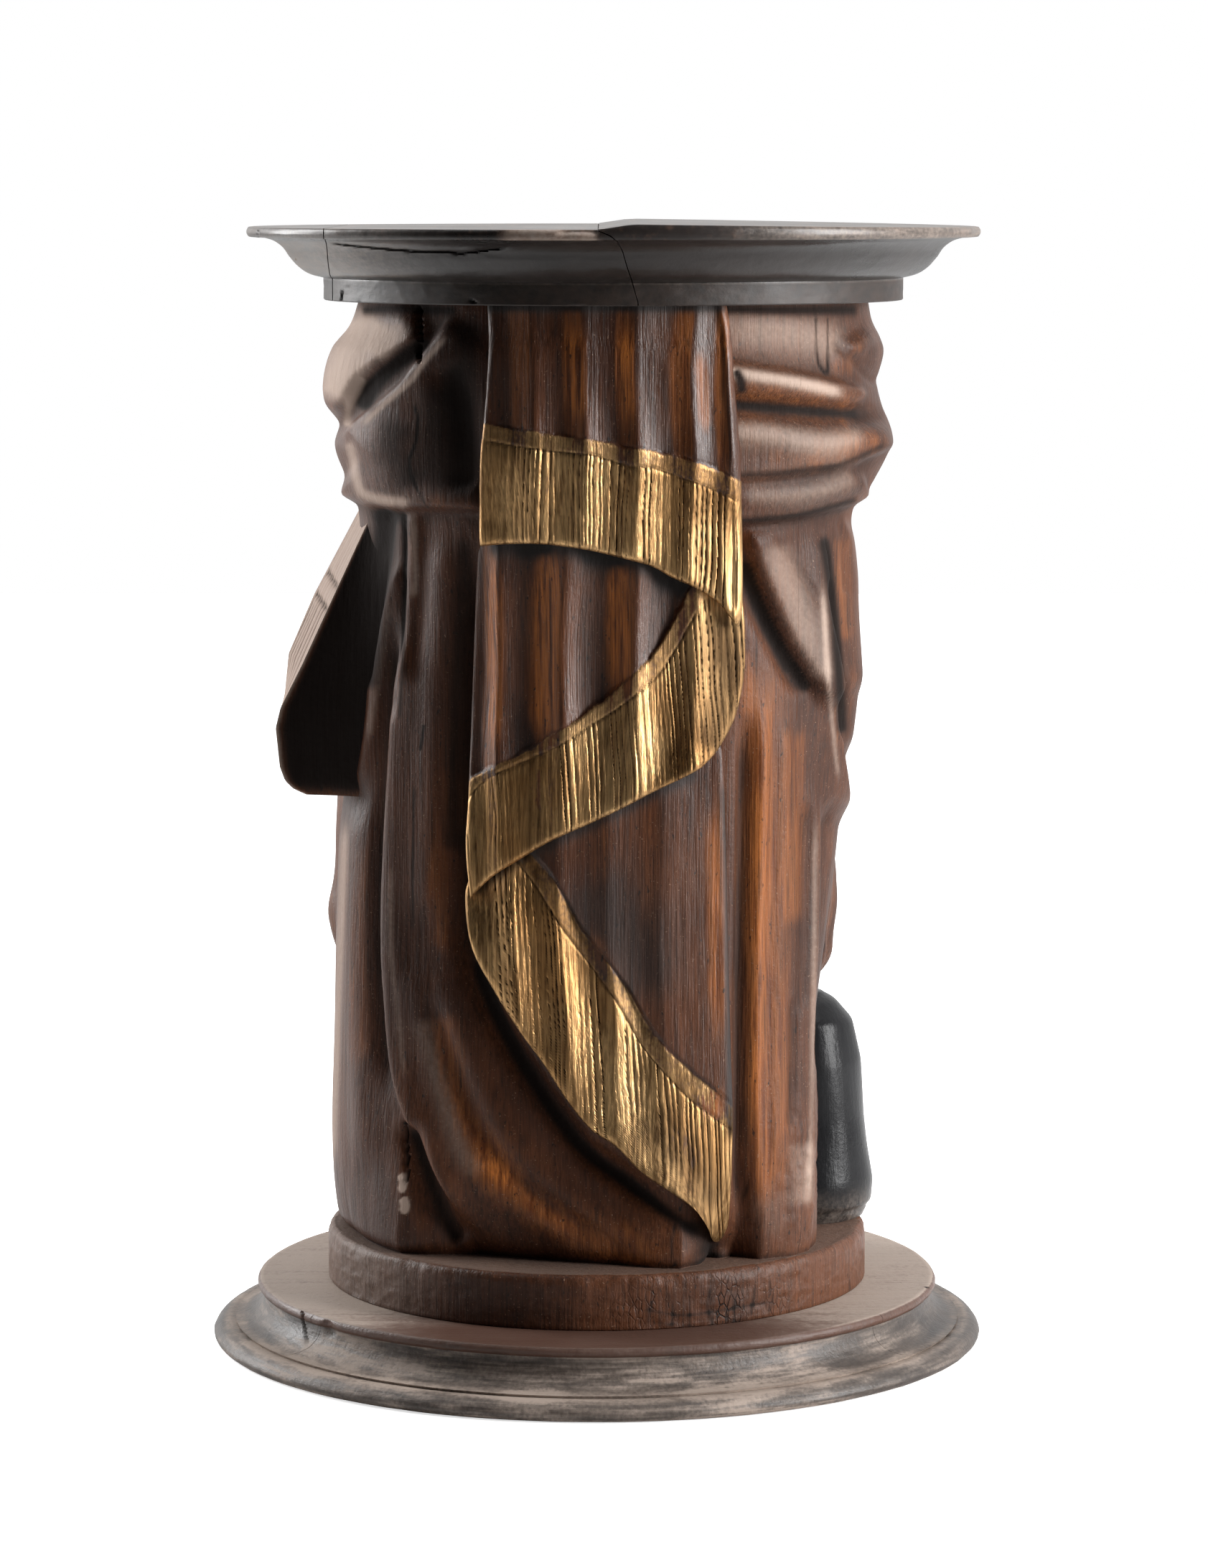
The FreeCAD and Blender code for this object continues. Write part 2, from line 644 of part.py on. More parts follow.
def side_sash_end():
    # Flared end on the left: a back edge, an outer edge and a front edge, rooted in the robe
    wires = []
    for up, back_reach, outer_reach in side_sash_shares:
        level = side_sash_bottom + up * side_sash_drop
        root = -side_sash_reach * side_sash_root_share
        corners = [
            Vector(-side_sash_reach * back_reach, side_sash_depth * side_sash_back_share, level),
            Vector(-side_sash_reach * outer_reach, side_sash_depth * side_sash_outer_share, level),
            Vector(root, side_sash_depth * side_sash_front_share, level),
            Vector(root, side_sash_depth * side_sash_rear_root_share, level),
        ]
        wires.append(Part.makePolygon(corners + corners[:1]))
    return Part.makeLoft(wires, True, True)


def cupped_plank_limit():
    # Space under the right plank's upper face, which rises from the lip to the middle joint
    low = Vector(lean_offset + lip_radius, -wide, stand_top)
    high = Vector(lean_offset + top_joint_right, -wide, stand_top + cupped_rise)
    bottom_right = Vector(low.x, -wide, figure_top)
    bottom_left = Vector(high.x, -wide, figure_top)
    face = Part.Face(Part.makePolygon([low, high, bottom_left, bottom_right, low]))
    return face.extrude(Vector(0, 2 * wide, 0))


def build_top(pieces, fixing_holes):
    joint_left = lean_offset - top_joint_left
    joint_right = lean_offset + top_joint_right
    dowel_level = (figure_top + neck_height + stand_top) / 2
    middles = [Vector(joint_right, share * lip_radius, dowel_level) for share in top_dowel_shares]
    middles += [Vector(joint_left, share * lip_radius, dowel_level) for share in top_left_dowel_shares]
    dowels, dowel_holes = rods_and_holes(dowel_radius, dowel_length, middles, Vector(1, 0, 0))
    pieces["top_joint_dowels"] = Part.makeCompound(dowels)
    holes = dowel_holes + fixing_holes
    plain = top_body(0)
    left = plain.common(slab(-wide, joint_left, -wide, wide, 0, stand_top + overrun))
    middle = plain.common(slab(joint_left, joint_right, -wide, wide, 0, stand_top + overrun))
    right = top_body(cupped_rise).common(cupped_plank_limit())
    pieces["top_plank_left"] = drilled(left, holes)
    pieces["top_plank_middle"] = drilled(middle, holes)
    pieces["top_plank_right"] = drilled(right, holes)


def build_top_fixings(pieces):
    middles = [Vector(lean_offset + across * neck_radius, along * neck_radius, figure_top)
               for across, along in top_fixing_shares]
    dowels, holes = rods_and_holes(fixing_dowel_radius, fixing_dowel_length, middles, Vector(0, 0, 1))
    pieces["top_fixing_dowels"] = Part.makeCompound(dowels)
    return holes


def build_base(pieces, figure_screw_holes):
    disc = disc_layer()
    foot = foot_layer()
    disc_level = (foot_height + disc_top) / 2
    middles = []
    for joint in (-disc_joint_front, disc_joint_back):
        middles += [Vector(share * disc_radius, joint, disc_level) for share in disc_dowel_shares]
    dowels, dowel_holes = rods_and_holes(dowel_radius, dowel_length, middles, Vector(0, 1, 0))
    pieces["base_disc_dowels"] = Part.makeCompound(dowels)
    ring = layer_screw_ring_share * disc_radius
    angles = [2 * math.pi * (step + 0.5) / layer_screw_count for step in range(layer_screw_count)]
    places = [Vector(ring * math.sin(angle), ring * math.cos(angle), 0) for angle in angles]
    layer_screws = [screw(layer_screw_radius, layer_screw_length, place) for place in places]
    layer_holes = [screw_hole(layer_screw_radius, layer_screw_length, place) for place in places]
    pieces["base_layer_screws"] = Part.makeCompound(layer_screws)
    holes = dowel_holes + layer_holes + figure_screw_holes
    bands = {
        "front": (-wide, -disc_joint_front),
        "middle": (-disc_joint_front, disc_joint_back),
        "back": (disc_joint_back, wide),
    }
    for name, (y_low, y_high) in bands.items():
        plank = disc.common(slab(-wide, wide, y_low, y_high, 0, stand_top))
        pieces["base_disc_plank_" + name] = drilled(plank, holes)
    boards = {"front": (-wide, foot_joint_back), "back": (foot_joint_back, wide)}
    for name, (y_low, y_high) in boards.items():
        board = foot.common(slab(-wide, wide, y_low, y_high, 0, stand_top))
        pieces["base_foot_board_" + name] = drilled(board, holes)


def build_figure_screws(pieces):
    places = [Vector(across * drum_radius, along * drum_radius, 0) for across, along in figure_screw_shares]
    screws = [screw(figure_screw_radius, figure_screw_length, place) for place in places]
    pieces["figure_fixing_screws"] = Part.makeCompound(screws)
    return [screw_hole(figure_screw_radius, figure_screw_length, place) for place in places]


def build_figure(pieces, fixing_holes):
    robe = robe_body(0)
    drum = Part.makeCylinder(drum_radius, drum_height, Vector(0, 0, disc_top))
    figure = robe.fuse(drum)
    drum_level = disc_top + drum_height / 2
    middles = []
    for seam in (-seam_left, seam_right):
        middles += [Vector(seam, along * figure_radius, figure_bottom + up * figure_height)
                    for up, along in block_dowel_shares]
        middles += [Vector(seam, along * drum_radius, drum_level) for along in drum_dowel_shares]
    dowels, dowel_holes = rods_and_holes(dowel_radius, dowel_length, middles, Vector(1, 0, 0))
    pieces["block_joint_dowels"] = Part.makeCompound(dowels)
    holes = dowel_holes + fixing_holes
    bands = {
        "left": (-wide, -seam_left),
        "centre": (-seam_left, seam_right),
        "right": (seam_right, wide),
    }
    for name, (x_low, x_high) in bands.items():
        block = figure.common(slab(x_low, x_high, -wide, wide, 0, stand_top))
        pieces["figure_block_" + name] = drilled(largest(block), holes)
    return robe


def build_applied_pins(pieces):
    # Pins of the side sash end, and dowels under the boots
    pin_middles = []
    for share in side_pin_shares:
        level = side_sash_bottom + share * side_sash_drop
        pin_middles.append(Vector(-side_sash_reach * side_pin_reach_share, 0, level))
    pins, pin_holes = rods_and_holes(pin_radius, pin_length, pin_middles, Vector(1, 0, 0))
    pieces["side_sash_pins"] = Part.makeCompound(pins)
    dowel_y = boot_length * boot_dowel_share
    boot_middles = [
        Vector(boot_right_place, dowel_y, figure_bottom),
        Vector(-boot_left_place, dowel_y + boot_left_step, figure_bottom),
    ]
    dowels, dowel_holes = rods_and_holes(dowel_radius, dowel_length, boot_middles, Vector(0, 0, 1))
    pieces["boot_dowels"] = Part.makeCompound(dowels)
    return pin_holes + dowel_holes


def build_sash(pieces, robe):
    # Three lengths that zigzag down the back, each lying under the one above it
    above = None
    for name, outline, thickness in (
        ("sash_fall", fall_outline_shares, fall_thickness),
        ("sash_fold", fold_outline_shares, fold_thickness),
        ("sash_tail", tail_outline_shares, tail_thickness),
    ):
        block = sash_block(outline)
        free = block.cut(above) if above else block
        pieces[name] = largest(free.common(robe_body(thickness)).cut(robe))
        above = block


def build_limbs(pieces, robe, holes):
    # Side sash end, legs and boots, each cut to the robe that it is set against
    side_end = side_sash_end()
    pieces["side_sash_end"] = drilled(largest(side_end.cut(robe)), holes)
    for name, side, leg_place, boot_place, step_forward in (
        ("right", 1, leg_right_place, boot_right_place, 0),
        ("left", -1, leg_left_place, boot_left_place, boot_left_step),
    ):
        leg = trouser_leg(side, leg_place)
        pieces["trouser_leg_" + name] = largest(leg.cut(side_end).cut(robe))
        boot_solid = boot(side, boot_place, step_forward).cut(robe)
        pieces["boot_" + name] = drilled(largest(boot_solid), holes)


def main():
    pieces = {}
    top_fixing_holes = build_top_fixings(pieces)
    figure_screw_holes = build_figure_screws(pieces)
    applied_holes = build_applied_pins(pieces)
    build_top(pieces, top_fixing_holes)
    build_base(pieces, figure_screw_holes)
    robe = build_figure(pieces, top_fixing_holes + figure_screw_holes + applied_holes)
    build_sash(pieces, robe)
    build_limbs(pieces, robe, applied_holes)
    os.makedirs("parts", exist_ok=True)
    for name, shape in pieces.items():
        shape.exportStep("parts/" + name + ".step")
        print(name, len(shape.Solids), "solids, valid:", shape.isValid())


main()
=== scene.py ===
import math

import bmesh
import bpy
import numpy as np
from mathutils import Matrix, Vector


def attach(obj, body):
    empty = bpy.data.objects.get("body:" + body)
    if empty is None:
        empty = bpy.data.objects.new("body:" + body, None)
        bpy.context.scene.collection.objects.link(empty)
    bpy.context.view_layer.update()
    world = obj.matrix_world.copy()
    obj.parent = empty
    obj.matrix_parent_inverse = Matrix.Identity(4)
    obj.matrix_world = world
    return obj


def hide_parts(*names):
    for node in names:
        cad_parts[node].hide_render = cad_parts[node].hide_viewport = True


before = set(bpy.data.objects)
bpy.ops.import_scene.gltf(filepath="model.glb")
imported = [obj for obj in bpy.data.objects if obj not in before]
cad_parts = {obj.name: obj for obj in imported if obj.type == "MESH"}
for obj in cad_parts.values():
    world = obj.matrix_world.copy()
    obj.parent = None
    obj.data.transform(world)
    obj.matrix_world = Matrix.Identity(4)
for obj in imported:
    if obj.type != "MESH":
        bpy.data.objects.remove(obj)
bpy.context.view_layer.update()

# Looks of a carved plant stand: the draped lower body of a figure on a stepped round base, under a
# round moulded top. Lengths are millimetres until a mesh is made. The camera sees the figure's back.
MM = 0.001

# Levels and sizes of the solid model
FOOT_HEIGHT = 12.4
DISC_TOP = 40.8
DRUM_RADIUS = 178.6
FIGURE_BOTTOM = 76.1
FIGURE_HEIGHT = 609.7
FIGURE_TOP = FIGURE_BOTTOM + FIGURE_HEIGHT
FIGURE_RADIUS = 182.0
LEAN = 10.9
NECK_RADIUS = 188.7
NECK_TOP = FIGURE_TOP + 14.4
LIP_BOTTOM = NECK_TOP + 26.3
STAND_TOP = LIP_BOTTOM + 6.6
LIP_RADIUS = 238.6
CYMA_TOP_RADIUS = 229.0
CUPPED_RISE = 3.4

# Camera: place, pitch, focal length in picture points, and the picture's height and middle
EYE = np.array([4.83, -3263.0, 761.28])
PITCH = 0.1201
FOCAL = 6940.6
PICTURE_HEIGHT = 2184.0
MIDDLE = (841.5, 1092.0)


# Small helpers

def ease(zero, one, value):
    # Smooth ramp from 0 at one value to 1 at another, higher or lower
    share = np.clip((value - zero) / (one - zero), 0.0, 1.0)
    return share * share * (3.0 - 2.0 * share)


def bell(value, width):
    # 1 at zero, falling off over a width
    return np.exp(-(value / width) ** 2)


def hermite(t, a, b, slope_a, slope_b):
    # Smooth run from a to b, with the given slopes at its ends
    t2 = t * t
    t3 = t2 * t
    return (a * (2 * t3 - 3 * t2 + 1) + slope_a * (t3 - 2 * t2 + t)
            + b * (3 * t2 - 2 * t3) + slope_b * (t3 - t2))


def lattice(across, up, seed):
    # Smooth noise from -1 to 1, one lump to each unit step
    size = 64
    table = np.random.RandomState(seed).rand(size, size)
    column = np.floor(across).astype(int)
    row = np.floor(up).astype(int)
    share = ease(0.0, 1.0, across - column)

    def mixed(line):
        near = table[line % size, column % size]
        far = table[line % size, (column + 1) % size]
        return near * (1 - share) + far * share

    rise = ease(0.0, 1.0, up - row)
    return 2.0 * (mixed(row) * (1 - rise) + mixed(row + 1) * rise) - 1.0


def rough(across, up, seed):
    # Noise of three sizes
    total = lattice(across, up, seed)
    total = total + 0.5 * lattice(across * 2.1, up * 2.1, seed + 1)
    return total + 0.25 * lattice(across * 4.3, up * 4.3, seed + 2)


def degrees_round(seen, fine, coarse):
    # Degrees round a body from its back: fine steps where it shows, coarse ones beyond
    return np.concatenate([np.arange(-seen, seen, fine), np.arange(seen, 360.0 - seen, coarse)])


def smooth_path(points, count):
    # Even run of points on a smooth curve through the given ones
    points = np.asarray(points, float)
    if len(points) == 2:
        share = np.linspace(0, 1, count)[:, None]
        return points[0] * (1 - share) + points[1] * share
    run = np.vstack([2 * points[0] - points[1], points, 2 * points[-1] - points[-2]])
    slope = (run[2:] - run[:-2]) / 2
    share = np.linspace(0, 1, 12, endpoint=False)[:, None]
    fine = [hermite(share, points[k], points[k + 1], slope[k], slope[k + 1]) for k in range(len(points) - 1)]
    fine = np.vstack(fine + [points[-1:]])
    length = np.concatenate([[0], np.cumsum(np.hypot(*np.diff(fine, axis=0).T))])
    even = np.linspace(0, length[-1], count)
    return np.stack([np.interp(even, length, column) for column in fine.T], axis=1)


def to_picture(x, y, z):
    # Picture point that shows a place of the object
    dx = x - EYE[0]
    dy = y - EYE[1]
    dz = z - EYE[2]
    depth = dy * math.cos(PITCH) - dz * math.sin(PITCH)
    rise = dy * math.sin(PITCH) + dz * math.cos(PITCH)
    return MIDDLE[0] + FOCAL * dx / depth, MIDDLE[1] - FOCAL * rise / depth


def on_depth(u, v, y):
    # Place at a depth y that a picture point shows
    side = (u - MIDDLE[0]) / FOCAL
    rise = (MIDDLE[1] - v) / FOCAL
    way_y = math.cos(PITCH) + rise * math.sin(PITCH)
    way_z = -math.sin(PITCH) + rise * math.cos(PITCH)
    reach = (y - EYE[1]) / way_y
    return EYE[0] + side * reach, EYE[2] + way_z * reach


# Robe: reach from its leaning axis, as shares of the hip reach, at shares of the height. The eight
# columns go round from the back: back, back right, right, front right, front, front left, left,
# back left.
ROBE_SHARES = (
    (-0.050, (0.80, 0.935, 0.70, 0.55, 0.45, 0.60, 0.950, 0.91)),
    (0.000, (0.80, 0.935, 0.70, 0.55, 0.45, 0.60, 0.955, 0.91)),
    (0.030, (0.80, 0.94, 0.71, 0.55, 0.45, 0.60, 0.970, 0.91)),
    (0.100, (0.80, 0.93, 0.72, 0.56, 0.46, 0.60, 0.970, 0.89)),
    (0.200, (0.80, 0.91, 0.74, 0.57, 0.48, 0.61, 0.960, 0.87)),
    (0.300, (0.80, 0.90, 0.78, 0.59, 0.50, 0.63, 0.957, 0.87)),
    (0.400, (0.81, 0.89, 0.82, 0.62, 0.54, 0.66, 0.950, 0.87)),
    (0.500, (0.82, 0.89, 0.85, 0.66, 0.58, 0.69, 0.930, 0.87)),
    (0.600, (0.83, 0.89, 0.88, 0.72, 0.64, 0.73, 0.910, 0.87)),
    (0.700, (0.85, 0.89, 0.87, 0.78, 0.72, 0.79, 0.895, 0.88)),
    (0.775, (0.88, 0.90, 0.87, 0.86, 0.83, 0.86, 0.900, 0.90)),
    (0.810, (0.90, 0.94, 0.95, 0.94, 0.92, 0.94, 0.945, 0.93)),
    (0.845, (0.92, 0.97, 1.00, 0.97, 0.94, 0.97, 0.990, 0.96)),
    (0.872, (0.92, 0.97, 0.99, 0.97, 0.94, 0.97, 0.970, 0.96)),
    (0.910, (0.92, 0.96, 0.95, 0.96, 0.93, 0.96, 0.995, 0.96)),
    (0.948, (0.92, 0.95, 0.97, 0.94, 0.92, 0.94, 0.975, 0.95)),
    (0.972, (0.91, 0.93, 0.93, 0.92, 0.90, 0.92, 0.920, 0.93)),
    (1.000, (0.91, 0.92, 0.91, 0.90, 0.88, 0.90, 0.898, 0.92)),
)
ROBE_LEVELS = np.array([row[0] for row in ROBE_SHARES])
ROBE_TABLE = np.array([row[1] for row in ROBE_SHARES])

# Hem on the drum: degrees from the back towards the right, and reach
HEM_DEGREES = (-110, -90, -72, -58, -49, -44, -38, -33, -14, 5, 13, 19, 24, 30, 36, 39, 47, 57, 67, 80, 100)
HEM_REACH = (150, 172, 168, 171, 172, 163, 148, 139, 137, 148, 162, 170, 160, 141, 145, 166, 173, 168,
             157, 137, 118)
HEM_FADE = 42.0


def lean_at(z):
    # Sideways lean of the figure's axis at a height
    return LEAN * np.clip((z - FIGURE_BOTTOM) / FIGURE_HEIGHT, 0.0, 1.0)


def wall_reach(degrees, z):
    # Reach of the robe's wall: smooth round each level of the table, and smooth from level to level
    share = np.clip((z - FIGURE_BOTTOM) / FIGURE_HEIGHT, ROBE_LEVELS[0], ROBE_LEVELS[-1])
    row = np.clip(np.searchsorted(ROBE_LEVELS, share, side="right") - 1, 0, len(ROBE_LEVELS) - 2)
    place = (np.asarray(degrees) / 45.0) % 8.0
    column = np.floor(place).astype(int)

    def ring(level):
        a, b, c, d = (ROBE_TABLE[level, (column + k) % 8] for k in (-1, 0, 1, 2))
        return hermite(place - column, b, c, (c - a) / 2, (d - b) / 2)

    below = np.maximum(row - 1, 0)
    above = np.minimum(row + 2, len(ROBE_LEVELS) - 1)
    low = ROBE_LEVELS[row]
    high = ROBE_LEVELS[row + 1]
    span = high - low
    a = ring(row)
    b = ring(row + 1)
    slope_a = (b - ring(below)) / (high - ROBE_LEVELS[below]) * span
    slope_b = (ring(above) - a) / (ROBE_LEVELS[above] - low) * span
    return hermite((share - low) / span, a, b, slope_a, slope_b) * FIGURE_RADIUS


def robe_reach(degrees, z):
    # Reach of the robe without its carved folds: the wall, drawn out to the hem near the drum
    reach = wall_reach(degrees, z)
    turn = (np.asarray(degrees) + 180.0) % 360.0 - 180.0
    hem = np.interp(turn, HEM_DEGREES, HEM_REACH)
    back = ease(-112.0, -90.0, turn) * ease(100.0, 80.0, turn)
    weight = back * np.exp(-np.clip(z - FIGURE_BOTTOM, 0.0, None) / HEM_FADE)
    return reach + (hem - reach) * weight


# Carved folds, as paths of picture points. A ridge is (path, half width, rise), with a negative
# rise for a valley. A step is (path, ramp, reach, rise): the side to the left of a path that runs
# down is the high side, and it falls off over its reach. Widths are picture points, rises mm.
ROBE_RIDGES = (
    (((984, 1740), (992, 1758), (990, 1785)), 20, 12.0),
    (((1146, 745), (1158, 825), (1167, 915), (1172, 1015)), 7, -5.0),
    # Left hip
    (((560, 560), (552, 635), (562, 700)), 48, 5.0),
    (((620, 500), (640, 560), (650, 640), (655, 690)), 22, -4.0),
    # Right hip
    (((960, 560), (1033, 565), (1100, 570), (1180, 576), (1240, 580)), 15, -6.5),
    (((960, 596), (1030, 600), (1112, 610), (1180, 610), (1250, 600)), 22, 5.0),
    (((960, 692), (1037, 688), (1100, 684), (1150, 678), (1215, 660)), 17, 4.0),
    (((1157, 472), (1174, 486), (1186, 497), (1204, 517), (1224, 535)), 5, -3.0),
    (((1185, 460), (1212, 492)), 24, 4.0),
    (((960, 478), (1035, 484), (1120, 492), (1180, 508)), 24, -3.0),
    # Right side of the robe
    (((1020, 770), (1054, 846), (1073, 880), (1089, 910), (1125, 970)), 14, -5.0),
    (((1070, 740), (1097, 778), (1124, 828), (1137, 856)), 3.5, -2.0),
    (((1149, 800), (1155, 860), (1163, 930), (1170, 1034)), 7, -11.0),
    (((1172, 712), (1184, 800), (1190, 900), (1187, 970), (1178, 1060)), 9, 4.5),
    (((1166, 716), (1172, 760), (1177, 830)), 3.5, -2.0),
    (((1060, 950), (1060, 1100), (1057, 1226), (1053, 1393), (1050, 1580), (1050, 1740)), 10, 3.5),
    (((1036, 985), (1037, 1100), (1031, 1400), (1029, 1600), (1032, 1720)), 8, -5.0),
    (((1104, 1380), (1104, 1480), (1100, 1580)), 6, -2.5),
    (((1092, 980), (1090, 1200), (1084, 1420), (1080, 1650)), 13, 2.5),
    (((1122, 1110), (1120, 1250), (1116, 1420)), 8, -3.0),
    (((1155, 1100), (1148, 1240), (1141, 1380), (1134, 1500)), 8, -4.0),
    # Left side of the robe
    (((536, 690), (530, 760), (520, 820), (508, 900), (500, 960)), 15, -7.0),
    (((566, 770), (545, 840), (530, 920), (517, 1030), (500, 1110)), 9, 4.0),
    (((564, 700), (565, 800), (562, 900), (556, 1010)), 4, -3.0),
    (((576, 700), (579, 760), (578, 815), (575, 870), (572, 960)), 9, 4.5),
    (((553, 850), (546, 940), (538, 1040), (531, 1150), (528, 1300), (531, 1430), (548, 1545)), 10, -5.0),
    (((500, 1100), (497, 1300), (503, 1500), (515, 1640)), 20, 3.5),
    (((620, 730), (612, 900), (606, 1050), (600, 1200), (598, 1300)), 22, 3.0),
    (((664, 740), (655, 940), (649, 1100), (643, 1230), (648, 1310), (678, 1395), (716, 1462), (750, 1512),
      (785, 1562), (820, 1604), (860, 1632), (930, 1684), (980, 1722)), 15, -9.0),
    (((576, 1330), (598, 1440), (624, 1540), (657, 1614), (709, 1670), (764, 1704), (815, 1726)), 20, 2.5),
    (((607, 1330), (637, 1422), (687, 1540), (727, 1607), (768, 1646), (822, 1688), (862, 1714),
      (915, 1744)), 20, 2.5),
    (((596, 1380), (650, 1530), (688, 1597), (740, 1657), (800, 1702), (850, 1728)), 12, -2.0),
    (((572, 1560), (590, 1630), (612, 1690), (640, 1738)), 17, -8.0),
)
ROBE_STEPS = (
    # Left hip: rim of the rounded cloth, then the underside of the swag
    (((610, 462), (581, 476), (550, 496), (522, 514), (509, 524), (499, 539), (489, 558),
      (470, 592)), 9, 75, 9.0),
    (((478, 614), (511, 586), (532, 566), (554, 548), (571, 531), (583, 513), (595, 499), (613, 476),
      (640, 440)), 12, 48, 6.0),
    (((690, 708), (620, 705), (583, 705), (562, 706), (532, 704), (507, 696), (470, 680)), 8, 45, 8.0),
    # Right hip: rolls of the swag
    (((960, 502), (1024, 513), (1061, 519), (1104, 525), (1145, 533), (1182, 542), (1212, 552)), 10, 38, 8.5),
    (((1250, 612), (1214, 628), (1174, 645), (1133, 651), (1082, 659), (1030, 663), (960, 668)), 9, 40, 5.5),
    (((1215, 685), (1167, 702), (1143, 708), (1092, 718), (1030, 724), (960, 730)), 8, 36, 8.5),
    # Right side: the slanting fold, the side drape and the edge of the robe
    (((1150, 990), (1122, 932), (1098, 890), (1074, 838), (1050, 778), (1036, 725)), 12, 52, 8.0),
    (((1141, 726), (1143, 805), (1147, 851), (1153, 920), (1157, 981), (1164, 1050), (1170, 1103),
      (1172, 1155)), 7, 26, 7.0),
    (((1131, 1072), (1135, 1111), (1136, 1290), (1131, 1383), (1128, 1472), (1130, 1561), (1126, 1669),
      (1124, 1775)), 6, 18, 4.5),
    # Left: the cloth that sweeps down to the hem lies over the side of the robe
    (((690, 1724), (657, 1702), (635, 1672), (609, 1631), (591, 1594), (574, 1555), (561, 1516),
      (552, 1470), (546, 1396), (540, 1322), (540, 1250), (543, 1190), (548, 1111), (552, 1029),
      (556, 940), (559, 860)), 9, 38, 7.0),
)

# Edges of the sash's three lengths, and their ruled lines, in picture points
FALL_LEFT = ((679, 423), (681, 476), (678, 537), (674, 588), (669, 639), (668, 735), (669, 761))
FALL_RIGHT = ((1012, 423), (1019, 470), (1024, 537), (1028, 588), (1032, 650), (1034, 735),
              (1035, 800), (1034, 850), (1029, 874))
FALL_TOP = ((679, 423), (840, 423), (1012, 423))
FALL_BOTTOM = ((669, 761), (707, 758), (752, 758), (790, 762), (827, 768), (868, 778), (908, 789),
               (935, 804), (975, 822), (1002, 841), (1015, 857), (1029, 874))
FALL_LINES = (
    ((676, 590), (734, 599), (790, 608), (827, 612), (868, 622), (908, 627), (961, 640), (1002, 655),
     (1036, 672)),
    ((676, 614), (734, 624), (801, 632), (827, 635), (881, 650), (908, 652), (961, 670), (1002, 686),
     (1036, 701)),
)
FOLD_LEFT = ((668, 730), (664, 800), (659, 940), (653, 1100), (649, 1180), (655, 1252))
FOLD_RIGHT = ((1030, 800), (1035, 838), (1038, 879), (1037, 937), (1025, 996), (1001, 1043), (978, 1069))
FOLD_TOP = ((668, 730), (760, 732), (860, 745), (960, 775), (1030, 800))
FOLD_BOTTOM = ((655, 1252), (685, 1222), (723, 1198), (767, 1172), (825, 1146), (869, 1125),
               (913, 1102), (957, 1081), (978, 1069))
FOLD_LINES = (
    ((648, 1090), (679, 1069), (723, 1052), (767, 1022), (796, 1008), (849, 967), (896, 926),
     (913, 905), (931, 876), (950, 840)),
    ((646, 1118), (679, 1085), (737, 1058), (778, 1039), (822, 1011), (869, 981), (913, 943),
     (937, 911), (972, 850)),
)
TAIL_LEFT = ((656, 1215), (648, 1252), (657, 1319), (687, 1378), (724, 1437), (757, 1482), (790, 1533),
             (824, 1574), (857, 1596), (894, 1633), (938, 1663), (968, 1685), (988, 1712))
TAIL_RIGHT = ((1000, 1030), (1008, 1060), (1012, 1200), (1014, 1300), (1018, 1450), (1021, 1548),
              (1019, 1637), (1015, 1700), (1008, 1722))
TAIL_TOP = ((656, 1215), (740, 1165), (850, 1105), (940, 1060), (1000, 1030))
TAIL_BOTTOM = ((988, 1712), (992, 1726), (999, 1730), (1008, 1722))
TAIL_LINES = (
    ((725, 1170), (775, 1230), (805, 1285), (842, 1334), (875, 1378), (916, 1445), (960, 1489),
     (1005, 1526), (1026, 1545)),
    ((700, 1175), (746, 1234), (783, 1293), (820, 1341), (857, 1393), (894, 1456), (931, 1500),
     (968, 1537), (1025, 1578)),
)
FALL_EDGES = (FALL_LEFT, FALL_RIGHT, FALL_TOP, FALL_BOTTOM)
FOLD_EDGES = (FOLD_LEFT, FOLD_RIGHT, FOLD_TOP, FOLD_BOTTOM)
TAIL_EDGES = (TAIL_LEFT, TAIL_RIGHT, TAIL_TOP, TAIL_BOTTOM)

# Open cracks and checks: path, half width, depth
ROBE_CRACKS = (
    (((584, 425), (584, 470), (584, 508)), 3.0, 9.0),
    (((564, 1560), (567, 1610), (566, 1650)), 2.5, 4.0),
)


# Fields drawn in the picture: paths, strokes, steps and cracks

def segment_distance(u, v, start, end):
    # Distance of picture points from a straight segment, and the share along it
    ax, ay = start
    dx = end[0] - ax
    dy = end[1] - ay
    share = np.clip(((u - ax) * dx + (v - ay) * dy) / (dx * dx + dy * dy + 1e-9), 0.0, 1.0)
    return np.hypot(u - ax - share * dx, v - ay - share * dy), share


def inside_edges(u, v, edges):
    # 1 well inside four edges of picture points, 0 near them and outside
    left, right, top, bottom = edges
    points = np.asarray(top + right[1:] + bottom[::-1][1:] + left[::-1][1:], float)
    crossings = np.zeros(u.shape, int)
    nearest = np.full(u.shape, 1e9)
    for (ax, ay), (bx, by) in zip(points, np.roll(points, -1, axis=0)):
        spans = (ay > v) != (by > v)
        crossings += spans & (u < ax + (v - ay) * (bx - ax) / (by - ay + 1e-12))
        nearest = np.minimum(nearest, segment_distance(u, v, (ax, ay), (bx, by))[0])
    return (crossings % 2) * ease(6.0, 18.0, nearest)


